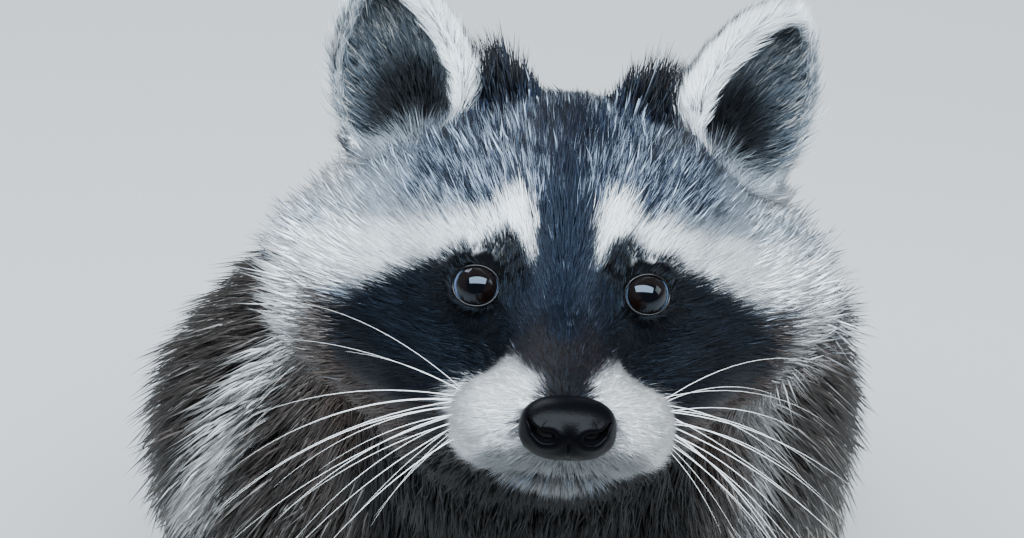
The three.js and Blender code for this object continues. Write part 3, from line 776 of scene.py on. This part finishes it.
def groom(skin):
    """Length, width, lift and density of the coat at each vertex, in that order."""
    x, y, z = mirrored(skin.head).T
    style = skin.region @ np.array([LENGTH, WIDTH, LIFT, DENSITY]).T
    on_face = np.clip(skin.region[:, FACE] * SPREAD, 0, 1)
    for values, amount in (
            ((6.0, 0.36, 15, 5.2), smooth(-y, 2, 12)),
            ((3.6, 0.33, 14, 6.2), smooth(-y, 18, 34)),
            ((11, 0.55, 20, 2.2), smooth(y, 24, 60)),
            ((20, 0.72, 24, 0.9), smooth(outward(x, y), 54, 84)),
            ((14, 0.55, 26, 1.0), smooth(-z, 34, 50) * smooth(y, -30, -5)),
            ((4.0, 0.26, 13, 9), 1 - smooth(eye_distance(skin.head), 9.5, 17)),
            ((9.0, 0.5, 22, 3.2), smooth(z, 14, 22) * smooth(y, -16, -8)),
            ((22, 0.45, 62, 2.8), ear_fringe(skin.head)),
            ((9.5, 0.4, 34, 5), near_groove(skin.head))):
        style = mix(style, np.array(values), (amount * on_face)[:, None])
    lips = np.clip(skin.region[:, MUZZLE] * SPREAD, 0, 1) * smooth(-z, 23, 33)
    style = mix(style, np.array(LIP_STYLE), lips[:, None])
    for ear in both_ears(skin.head):
        here = smooth(skin.region[:, EAR], 0.4, 0.8) * (np.abs(ear.out) < OWN_EAR)
        inner = here * smooth(ear.facing(skin.normal @ HEAD_ROT), 0, 0.3)
        inner = inner * (1 - smooth(ear.oval, 0.85, 0.95))
        style = mix(style, np.array(INNER_EAR_STYLE), inner[:, None])
    return style


# ---- Tufts ----
HEAD_FROST, BODY_FROST = rgb(200, 217, 238), rgb(214, 210, 203)      # pale tips
FROST_SHARE = 0.4            # of the locks of grizzled hair
SHEEN = rgb(48, 60, 74)      # painted sheen: the most that a tuft's tip is lightened by
TUFT_PATCH = 0.003
HEAD_SHEET_SCALE = 2.5       # the head's share of the unwrap is drawn larger than the body's
SHEET_MARGIN = 2.0           # mm round each sheet of the unwrap
PIECE_LIMIT = 198000
COAT_LIMIT = 1465000
SHORT_HAIR = 12.0                           # mm
TUFT_SHAPES = {"short": (1.0,), "long": (0.75, 1.0)}     # share of the width, ring by ring
TUFT_FLAT = 0.5                             # thickness for width
CLUMP_SIZE = {"short": 14, "long": 9}       # tufts drawn together towards a common tip
LOCK_SIZE = 3                               # tufts of short hair frosted alike
ROOT_DEPTH = 0.3 * MM                       # of each root under the skin
REST_HEIGHT = 1.2 * MM                      # the skin is bare below it, where it is sat on
# How far the coat may reach: the floor, and a little outside the animal's own solids.
REACH = np.array(cad_box) + np.array([[-1], [1]]) * (0.02 * np.ptp(cad_box, axis=0) + 8 * MM)
REACH[0, 2] = FLOOR_GAP


def sheets(points, normals, part, scale):
    """Lays the skin out flat: the six sides of each part are sheets set side by side."""
    axis = np.argmax(np.abs(normals), axis=1)
    sign = np.take_along_axis(normals, axis[:, None], 1)[:, 0] > 0
    other = np.array([(1, 2), (0, 2), (0, 1)])[axis]
    flat = np.take_along_axis(points, other, 1) * scale[:, None]
    _, sheet = np.unique(part * 6 + axis * 2 + sign, return_inverse=True)
    low = np.full((sheet.max() + 1, 2), np.inf)
    high = -low
    np.minimum.at(low, sheet, flat)
    np.maximum.at(high, sheet, flat)
    size = high - low + 2 * SHEET_MARGIN
    width = math.sqrt(size.prod(1).sum()) * 1.12
    place = np.zeros_like(size)
    x = y = row = 0.0
    for k in np.argsort(-size[:, 1]):
        if x + size[k, 0] > width:
            x, y, row = 0.0, y + row, 0.0
        place[k] = x, y
        x, row = x + size[k, 0], max(row, size[k, 1])
    whole = max(width, y + row)
    flat = (flat - low[sheet] + place[sheet] + SHEET_MARGIN) / whole
    return flat * (1 - TUFT_PATCH * 2) + TUFT_PATCH


def tuft_mesh(name, path, side, width, taper, colours, uv):
    """Joined closed spikes. path: tufts x stations x 3, the last station being the tip."""
    count, stations = path.shape[:2]
    rings = stations - 1
    way = unit(path[:, 1:] - path[:, :-1])
    up = unit(np.cross(side[:, None], way))
    turn = np.radians([90, 210, 330])[:, None]
    half = (width[:, None] * taper / 2)[:, :, None, None]
    ring = path[:, :rings, None] + half * (
        side[:, None, None] * np.cos(turn) + up[:, :, None] * np.sin(turn) * TUFT_FLAT)
    verts = np.concatenate([ring.reshape(count, -1, 3), path[:, -1:]], 1)
    quads = [(3 * r + k, 3 * r + (k + 1) % 3, 3 * r + 3 + (k + 1) % 3, 3 * r + 3 + k)
             for r in range(rings - 1) for k in range(3)]
    last = 3 * (rings - 1)
    tris = [(last + k, last + (k + 1) % 3, 3 * rings) for k in range(3)] + [(2, 1, 0)]
    base = np.arange(count)[:, None, None] * verts.shape[1]
    quad_loops = np.array(quads, int).reshape(1, -1, 4) + base
    tri_loops = np.array(tris)[None] + base
    loops = np.concatenate([quad_loops.ravel(), tri_loops.ravel()])
    starts = np.concatenate([np.arange(quad_loops.shape[1] * count) * 4,
                             quad_loops.size + np.arange(4 * count) * 3])
    me = mesh_from(name, verts.reshape(-1, 3), loops, starts)
    paint(me, np.concatenate([np.repeat(colours[:, :-1], 3, axis=1), colours[:, -1:]],
                             1).reshape(-1, 3))
    v = np.linspace(-0.5, 0.5, stations)
    quad_uv = [((-0.5, v[r]), (0.5, v[r]), (0.5, v[r + 1]), (-0.5, v[r + 1]))
               for r in range(rings - 1) for _ in range(3)]
    tri_uv = [((-0.5, v[-2]), (0.5, v[-2]), (0, v[-1]))] * 3 + [
        ((-0.5, v[0]), (0.5, v[0]), (0, v[0] + 0.2))]
    layer = me.uv_layers.new(name="OFBake")
    at = uv[:, None, None] + np.array(quad_uv).reshape(1, -1, 4, 2) * TUFT_PATCH
    at_tip = uv[:, None, None] + np.array(tri_uv)[None] * TUFT_PATCH
    layer.data.foreach_set("uv", np.concatenate(
        [at.ravel(), at_tip.ravel()]).astype(np.float32))
    return me


def tuft_faces(kind):
    """Triangles in one tuft."""
    return 6 * len(TUFT_SHAPES[kind]) - 2


def scatter(skin, density, cost):
    """Roots spread over the skin, to a total of faces: triangle of each and its place in it."""
    a, b, c = (skin.co[skin.tri[:, k]] for k in range(3))
    area = np.linalg.norm(np.cross(b - a, c - a), axis=1) / 2 / MM ** 2
    spread = area * density[skin.tri].mean(1)
    total = np.cumsum(spread)
    faces = (spread * cost[skin.tri].mean(1)).sum()
    count = int(total[-1] * min(1, COAT_LIMIT / faces))
    face = np.searchsorted(total, (np.arange(count) + rng.random(count)) * total[-1] / count)
    u, v = rng.random((2, count))
    over = u + v > 1
    u[over], v[over] = 1 - u[over], 1 - v[over]
    return np.minimum(face, len(area) - 1), np.stack([1 - u - v, u, v], 1)


def at_roots(values, face, share, tri):
    return sum(values[tri[face, k]] * (share[:, k] if values.ndim == 1 else share[:, [k]])
               for k in range(3))


def under_nose(h):
    return length_of((h - NOSE) / NOSE_HALF) < 0.97


def lid_inside(h):
    theta, turn, r = eye_angles(mirrored(h) - EYE)
    return (theta < lid_opening(turn) + 1.5) & (r < 12)


def drawn_together(root, size):
    """For each root, the one of a few chosen at random that lies nearest."""
    centres = rng.permutation(len(root))[:max(1, len(root) // size)]
    tree = tree_of(root[centres])
    return centres[[tree.find(p)[1] for p in root]]


def tuft_paths(root, normal, along, side, length, lift, bend, stations, clump):
    """Stations of each tuft from under the skin to its tip, tips drawn together in clumps."""
    span = np.linspace(0, 1, stations)
    path = [root - normal * ROOT_DEPTH]
    for s, e in zip(span[:-1], span[1:]):
        mid = (s + e) / 2
        rise = (lift * (1.35 - 1.0 * mid))[:, None]
        way = unit(along * np.cos(rise) + normal * np.sin(rise) + side * (bend * mid)[:, None])
        path.append(path[-1] + way * (length * (e - s))[:, None])
    path = np.stack(path, 1)
    tip = path[:, -1]
    near = drawn_together(root, clump)
    pull = (tip[near] - tip) * rng.uniform(0.15, 0.5, (len(root), 1))
    pull *= np.minimum(1, 0.35 * length / np.maximum(length_of(pull), TINY))[:, None]
    path += pull[:, None] * (span ** 1.6)[None, :, None]
    return np.clip(path, REACH[0], REACH[1])


def tuft_colours(root, depth, normal, along, length, region):
    """Colours at the root, middle and tip of each tuft, tufts x 3 x 3."""
    count = len(root)
    stray = rng.normal(size=(count, 3)) * np.clip(length * 0.11, 0.5, 4)[:, None]
    place = root + normal * depth[:, None] * MM
    place += along * (np.maximum(length - SHORT_HAIR, 0) * 0.8 * MM)[:, None]
    colour, grizzle = marking(to_head(place) + stray, to_body(place) + stray, normal, region)
    grey = grizzle[:, None]
    shade = np.exp(np.clip(rng.normal(size=count), -2, 2) * grizzle * 0.35)[:, None]
    lock = np.where(length > SHORT_HAIR, np.arange(count), drawn_together(root, LOCK_SIZE))
    frosted = (rng.random(count)[lock] < FROST_SHARE * smooth(grizzle, 0.35, 0.95))[:, None]
    head = to_head(root)
    blue = region[:, [FACE, MUZZLE]].sum(1) * (1 - smooth(head[:, 1], 25, 55))
    blue = (blue * smooth(head[:, 2], -48, -34))[:, None]
    pale = mix(colour, mix(BODY_FROST, HEAD_FROST, blue), rng.uniform(0.35, 1.0, (count, 1)) * grey)
    tip = np.where(frosted, pale, colour * shade * mix(1, 0.7, grey))
    # Painted sheen: a few tips at random are lightened, bluish, most on the face and muzzle.
    tip = tip + SHEEN * rng.random((count, 1)) ** 3 * mix(0.2, 1, blue)
    middle = mix(colour * shade, tip, np.where(frosted, 0.6, 0.4))
    return np.clip(np.stack([colour * mix(1, 0.5, grey), middle, tip], 1), 0, 0.9)


def grow_coat(skin, material):
    flow = lie_of_coat(skin)
    style = groom(skin)
    bare = (skin.co[:, 2] < REST_HEIGHT) | lid_inside(skin.head) | under_nose(skin.head)
    style[bare, 3] = 0
    cost = np.where(style[:, 0] > SHORT_HAIR, tuft_faces("long"), tuft_faces("short"))
    face, share = scatter(skin, style[:, 3], cost)

    def here(values):
        return at_roots(values, face, share, skin.tri)

    root, normal = here(skin.co), unit(here(skin.normal))
    along = tangent(here(flow), normal)
    length, width, lift, _ = here(style).T
    region = here(skin.region)
    count = len(root)
    colours = tuft_colours(root, here(skin.depth), normal, along, length, region)
    side = np.cross(normal, along)
    length = length * np.exp(np.clip(rng.normal(size=count), -2.5, 2) * 0.16)
    width = width * rng.uniform(0.7, 1.25, count)
    lift = np.radians(lift * rng.uniform(0.55, 1.35, count))
    along = unit(along + side * rng.normal(size=(count, 1)) * 0.13)
    side = unit(np.cross(normal, along))
    bend = rng.normal(size=count) * 0.16
    pieces = []
    for kind, chosen in (("short", length <= SHORT_HAIR), ("long", length > SHORT_HAIR)):
        k = np.nonzero(chosen)[0]
        taper = TUFT_SHAPES[kind]
        stations = len(taper) + 1
        path = tuft_paths(root[k], normal[k], along[k], side[k], length[k] * MM, lift[k],
                          bend[k], stations, CLUMP_SIZE[kind])
        tints = colours[k][:, np.linspace(0, 2, stations).astype(int)]
        part = region[k].argmax(1) * 2 + (to_head(root[k])[:, 0] > 0)
        zoom = np.where(region[k, OF_HEAD].sum(1) > 0.5, HEAD_SHEET_SCALE, 1.0)
        uv = sheets(to_body(root[k]), normal[k], part, zoom)
        groups = math.ceil(len(k) * tuft_faces(kind) / PIECE_LIMIT)
        for g in range(groups):
            pick = slice(g, None, groups)
            name = f"coat_{kind}_{g + 1}"
            me = tuft_mesh(name, path[pick], side[k][pick], width[k][pick] * MM, taper,
                           tints[pick], uv[pick])
            me.materials.append(material)
            pieces.append(link(bpy.data.objects.new(name, me)))
    return pieces


# ---- Materials ----
class Finish:
    """A Principled material, and helpers for the nodes that feed it."""

    def __init__(self, name, roughness, specular):
        self.mat = bpy.data.materials.new(name)
        self.mat.use_nodes = True
        self.shader = self.mat.node_tree.nodes["Principled BSDF"]
        self.feed(self.shader, {"Roughness": roughness, "Specular IOR Level": specular})

    def feed(self, node, inputs):
        """Gives a node's inputs their constants, or what other nodes put out."""
        for name, value in inputs.items():
            if isinstance(value, bpy.types.NodeSocket):
                self.mat.node_tree.links.new(value, node.inputs[name])
            else:
                node.inputs[name].default_value = value

    def node(self, kind, inputs, output, **settings):
        node = self.mat.node_tree.nodes.new(kind)
        for key, value in settings.items():
            setattr(node, key, value)
        self.feed(node, inputs)
        return node.outputs[output]

    def texture(self, kind, output, **inputs):
        """A texture over the object's own space."""
        space = self.node("ShaderNodeTexCoord", {}, "Object")
        return self.node(kind, {"Vector": space, **inputs}, output)

    def noise(self, scale, detail=3.0):
        return self.texture("ShaderNodeTexNoise", "Fac", Scale=scale, Detail=detail)

    def mark(self, output):
        """What is painted on the mesh."""
        return self.node("ShaderNodeAttribute", {}, output, attribute_name="Coat")

    def ramp(self, source, *stops):
        node = self.mat.node_tree.nodes.new("ShaderNodeValToRGB")
        for element, (at, colour) in zip(node.color_ramp.elements, stops):
            element.position = at
            element.color = tuple(colour) + (1,)
        self.feed(node, {"Fac": source})
        return node.outputs["Color"]

    def bump(self, height, strength, distance):
        inputs = {"Strength": strength, "Distance": distance, "Height": height}
        self.feed(self.shader, {"Normal": self.node("ShaderNodeBump", inputs, "Normal")})


def painted(name, roughness, specular, scale, dark, detail=3.0, start=0.3):
    """A finish coloured by what is painted on the mesh, with a little cloudiness."""
    finish = Finish(name, roughness, specular)
    cloud = finish.ramp(finish.noise(scale, detail), (start, (dark,) * 3), (0.7, (1, 1, 1)))
    colour = finish.node("ShaderNodeMix", {"Factor": 1.0, "A": finish.mark("Color"), "B": cloud},
                         "Result", data_type="RGBA", blend_type="MULTIPLY")
    finish.feed(finish.shader, {"Base Color": colour})
    return finish


def tinted(name, roughness, specular, scale, dark, light, end=0.7):
    """A finish that wanders between two colours."""
    finish = Finish(name, roughness, specular)
    colour = finish.ramp(finish.noise(scale), (0.3, dark), (end, light))
    finish.feed(finish.shader, {"Base Color": colour})
    return finish


def skin_material():
    finish = painted("skin", 0.9, 0.05, 400, 0.75)
    finish.bump(finish.noise(900, 4), 0.5, 0.0006)
    return finish.mat


def eye_material():
    finish = painted("eye", 0.02, 0.36, 1400, 0.6, detail=2, start=0.35)
    finish.feed(finish.shader, {"Specular Tint": (0.62, 0.80, 1.0, 1)})
    return finish.mat


def wet_black(name, roughness, specular, light, grain):
    """Bare damp skin with a fine grain."""
    finish = tinted(name, roughness, specular, grain, rgb(2, 2, 3),
                    rgb(light, light, light + 2), end=0.75)
    finish.bump(finish.texture("ShaderNodeTexVoronoi", "Distance", Scale=grain), 0.35, 0.0001)
    return finish


def nose_material():
    """Damp leather, dull in the nostrils, where the mark on the mesh is 1."""
    finish = wet_black("nose_leather", NOSE_ROUGH, 0.05, 3, 1700)
    inputs = {"Value": finish.mark("Fac"), "To Min": NOSE_ROUGH}
    finish.feed(finish.shader, {
        "Roughness": finish.node("ShaderNodeMapRange", inputs, "Result")})
    return finish.mat


def claw_material():
    finish = tinted("claw", 0.35, 0.5, 350, rgb(40, 34, 30), rgb(92, 82, 72))
    finish.bump(finish.noise(1500), 0.2, 0.0002)
    return finish.mat


# ---- Eyes, nose, claws and whiskers ----
def joined(parts):
    """Several lists of vertices and faces as one."""
    verts, faces, base = [], [], 0
    for co, corners in parts:
        verts.append(co)
        faces += [tuple(base + i for i in face) for face in corners]
        base += len(co)
    return np.concatenate(verts), faces


def flipped(faces):
    return [face[::-1] for face in faces]


def tube(line, first, second, radius, sides, closed=False):
    """A tube round a line of points, joined to itself or shut at its ends."""
    angle = np.arange(sides)[:, None] * 2 * math.pi / sides
    rings = line[:, None] + np.reshape(radius, (-1, 1, 1)) * (
        np.cos(angle) * first[:, None] + np.sin(angle) * second[:, None])
    count = len(line)
    faces = [tuple(ring * sides + j % sides for ring, j in (
                (i, k), (i, k + 1), ((i + 1) % count, k + 1), ((i + 1) % count, k)))
             for i in range(count if closed else count - 1) for k in range(sides)]
    if not closed:
        faces += [tuple(range(sides))[::-1], tuple(range((count - 1) * sides, count * sides))]
    return rings.reshape(-1, 3), faces


def ball(rows, columns):
    """A unit ball about the z axis: vertices, quads, and the poles' triangles."""
    polar = np.linspace(0, math.pi, rows + 1)[1:-1]
    turn = np.arange(columns) * 2 * math.pi / columns
    p, t = np.meshgrid(polar, turn, indexing="ij")
    verts = np.stack([np.sin(p) * np.cos(t), np.sin(p) * np.sin(t), np.cos(p)], -1).reshape(-1, 3)
    verts = np.concatenate([verts, [(0, 0, 1), (0, 0, -1)]])
    faces = []
    for c in range(columns):
        d = (c + 1) % columns
        faces.append((len(verts) - 2, c, d))
        last = (rows - 2) * columns
        faces.append((len(verts) - 1, last + d, last + c))
        for r in range(rows - 2):
            a = r * columns
            faces.append((a + c, a + columns + c, a + columns + d, a + d))
    return verts, faces


def solid_piece(name, verts, faces, mat):
    me = bpy.data.meshes.new(name)
    me.from_pydata(np.asarray(verts).tolist(), [], faces)
    me.polygons.foreach_set("use_smooth", np.ones(len(me.polygons), bool))
    me.materials.append(mat)
    return link(bpy.data.objects.new(name, me))


CORNEA_RADIUS, CORNEA_RISE = 34.0, 0.45      # degrees from the axis, mm
EYE_RINGS = [0, 20, 24, 50, 53, 58]          # pupil, iris, dark rim and white, in degrees; the white's blue-white tint is a painted reflection
# The last tint is the white of the eye, tinted blue-white: a painted reflection of the wet rim.
EYE_TINTS = [rgb(2, 1, 2), rgb(2, 1, 2), rgb(15, 8, 6), rgb(12, 7, 5), rgb(3, 3, 4),
             rgb(92, 110, 138)]


def add_eye(name, side, mat):
    verts, faces = ball(48, 64)
    basis = np.stack([EYE_OUT, EYE_UP, EYE_AXIS], 1)
    theta = np.degrees(np.arccos(np.clip(verts[:, 2], -1, 1)))
    rise = CORNEA_RISE * (1 - smooth(theta, 0, CORNEA_RADIUS * 1.5))
    m = (verts * (EYE_RADIUS - 0.05 + rise)[:, None]) @ basis.T + EYE
    obj = solid_piece(name, from_head(m * (side, 1, 1)), faces if side > 0 else flipped(faces),
                      mat)
    paint(obj.data, np.stack([np.interp(theta, EYE_RINGS, [t[k] for t in EYE_TINTS])
                              for k in range(3)], 1))
    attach(obj, "root")
    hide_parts(name)


LID_RIM = 0.28                               # half thickness in mm
LID_KNOTS, LID_SIDES = 96, 10


def add_lids(mat):
    """The bare black rims of the lids."""
    turn = np.arange(LID_KNOTS) * 2 * math.pi / LID_KNOTS
    theta = np.radians(lid_opening(turn) + 1.5)[:, None]
    round_axis = np.cos(turn)[:, None] * EYE_OUT + np.sin(turn)[:, None] * EYE_UP
    radial = np.cos(theta) * EYE_AXIS + np.sin(theta) * round_axis
    line = radial * (EYE_RADIUS + 0.25)
    across = np.cross(unit(np.roll(line, -1, 0) - np.roll(line, 1, 0)), radial)
    verts, faces = tube(line + EYE, radial, 1.3 * across, LID_RIM, LID_SIDES, closed=True)
    verts, faces = joined([(verts, faces), (verts * (-1, 1, 1), flipped(faces))])
    obj = solid_piece("lid_rims", from_head(verts), faces, mat)
    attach(obj, "root")


NOSTRIL = [(5.0, 0.3), (6.4, 0.1), (8.6, 1.2), (10.2, 3.4)]      # across and up: a comma
NOSTRIL_WIDE, NOSTRIL_DEEP = 1.4, 4.2
NOSE_GROW = np.array([1.02, 1.0, 1.02])
NOSE_BOXY = 2.5         # 2 would be an oval from in front
NOSE_ROUGH = 0.34


def add_nose(mat):
    """A broad smooth pad with two nostrils, their slits, and the groove to the lip."""
    verts, faces = ball(160, 220)
    verts = verts[:, [0, 2, 1]] * (1, -1, 1)
    x, y, z = verts.T
    turn = np.arctan2(z, x)
    boxy = np.abs(np.cos(turn)) ** NOSE_BOXY + np.abs(np.sin(turn)) ** NOSE_BOXY
    boxy = boxy ** (-1 / NOSE_BOXY)
    pad = verts * NOSE_HALF * NOSE_GROW * np.stack([boxy, np.ones_like(boxy), boxy], 1)
    pad[:, 0] *= 1 - 0.04 * smooth(-z, 0.2, 1.0)
    pad[:, 2] *= 1 - 0.07 * smooth(-z, 0.1, 1.0)
    front = smooth(-y, 0.0, 0.5)
    across, up = np.abs(pad[:, 0]), pad[:, 2]
    gap, share, _ = along_line(np.stack([across, up], 1), np.array(NOSTRIL, float))
    wide = NOSTRIL_WIDE * (1 - 0.68 * smooth(share, 0.25, 1))
    hole = (1 - smooth(gap, wide * 0.45, wide * 1.15)) * front
    pad[:, 1] += hole * NOSTRIL_DEEP * (1 - 0.7 * smooth(share, 0.2, 0.9))
    pad[:, 1] -= 0.5 * np.exp(-((gap - wide * 1.9) / 1.2) ** 2) * front * (1 - hole)
    groove = np.exp(-(pad[:, 0] / 0.4) ** 2) * front * smooth(-up, -1.5, 2.5)
    pad[:, 1] += groove * 0.7
    obj = solid_piece("nose_leather", from_head(pad + NOSE), flipped(faces), mat)
    paint(obj.data, np.repeat(smooth(hole, 0.05, 0.4)[:, None], 3, 1))
    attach(obj, "root")
    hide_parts("nose")


def add_claws(mat):
    """Each claw's own solid, rounded off by subdivision, joined in one piece."""
    names = [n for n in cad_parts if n.startswith("claw")]
    claws = []
    for name in names:
        bm = bmesh.new()
        bm.from_mesh(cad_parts[name].data)
        bmesh.ops.remove_doubles(bm, verts=bm.verts, dist=1e-6)
        bmesh.ops.subdivide_edges(bm, edges=bm.edges, cuts=2, use_grid_fill=True, smooth=0.6)
        bm.verts.index_update()
        claws.append((np.array([v.co for v in bm.verts]),
                      [[v.index for v in f.verts] for f in bm.faces]))
        bm.free()
    obj = solid_piece("claws", *joined(claws), mat)
    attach(obj, "root")
    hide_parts(*names)


# Whiskers in rows along the upper lip, for the left side of the head: y and z of the first
# and last root, how many, their length, how far they point up and forward, and how thick
# they are at the root.
WHISKER_ROWS = [
    ((-34, -12), (-29, -11), 2, 56, 0.55, 0.0, 0.2),
    ((-40, -15), (-26, -13), 2, 66, 0.16, 0.0, 0.22),
    ((-44, -19), (-24, -17), 4, 74, -0.12, 0.02, 0.32),
    ((-46, -24), (-24, -22), 4, 82, -0.30, 0.05, 0.38),
    ((-46, -28), (-28, -27), 4, 78, -0.58, 0.08, 0.36),
    ((-42, -31), (-30, -32), 3, 50, -0.90, 0.10, 0.27),
]
WHISKER_STATIONS, WHISKER_SIDES = 14, 5
LIP_SIDE = 34.0          # mm from the middle, where a root is sought on the skin


def whisker_lines(skin):
    tree = tree_of(skin.head)
    lines, widths = [], []
    for side in (1, -1):
        for (y0, z0), (y1, z1), count, length, rise, ahead, thick in WHISKER_ROWS:
            for k in range(count):
                s = k / max(count - 1, 1)
                at = np.array([side * LIP_SIDE, mix(y0, y1, s) + rng.normal() * 0.8,
                               mix(z0, z1, s) + rng.normal() * 0.8])
                reach = length * mix(0.62, 1.1, s) * rng.uniform(0.85, 1.1)
                way = unit(np.array([side * 0.95, mix(-0.1, 0.45, s) - ahead,
                                     rise + 0.09 * rng.normal()]))
                droop = np.array([0, 0.3, -0.8]) * rng.uniform(0.45, 1.2)
                line = [np.array(tree.find(at)[0])]
                step = reach / (WHISKER_STATIONS - 1)
                for t in np.linspace(0, 1, WHISKER_STATIONS - 1):
                    line.append(line[-1] + unit(way + droop * t) * step)
                lines.append(line)
                widths.append(thick * rng.uniform(0.65, 1.15))
    return np.array(lines), np.array(widths)


def add_whiskers(skin, mat):
    whiskers = []
    for line, width in zip(*whisker_lines(skin)):
        line = from_head(line)
        way = unit(np.gradient(line, axis=0))
        across = unit(np.cross(way, (0, 0, 1)))
        radius = width / 2 * MM * (1 - np.linspace(0, 1, len(line)) * 0.88)
        whiskers.append(tube(line, across, np.cross(across, way), radius, WHISKER_SIDES))
    obj = solid_piece("whiskers", *joined(whiskers), mat)
    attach(obj, "root")


# ---- Putting it together ----
add_camera()
add_stage()
skin = Skin()
tips = skin.co + skin.normal * skin.depth[:, None] * MM
colour, _ = marking(to_head(tips), to_body(tips), skin.normal, skin.region)
paint(skin.obj.data, colour * SKIN_SHADE)
skin.obj.data.materials.append(skin_material())
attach(skin.obj, "root")
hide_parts(*FLESH)
for piece in grow_coat(skin, painted("fur", 0.48, 0.15, 260, 0.86).mat):
    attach(piece, "root")
eye = eye_material()
add_eye("eye_l", 1, eye)
add_eye("eye_r", -1, eye)
add_lids(wet_black("lid_rim", 0.3, 0.3, 6, 900).mat)
add_nose(nose_material())
add_claws(claw_material())
add_whiskers(skin, tinted("whisker", 0.35, 0.5, 60, rgb(215, 215, 212), rgb(245, 245, 243)).mat)
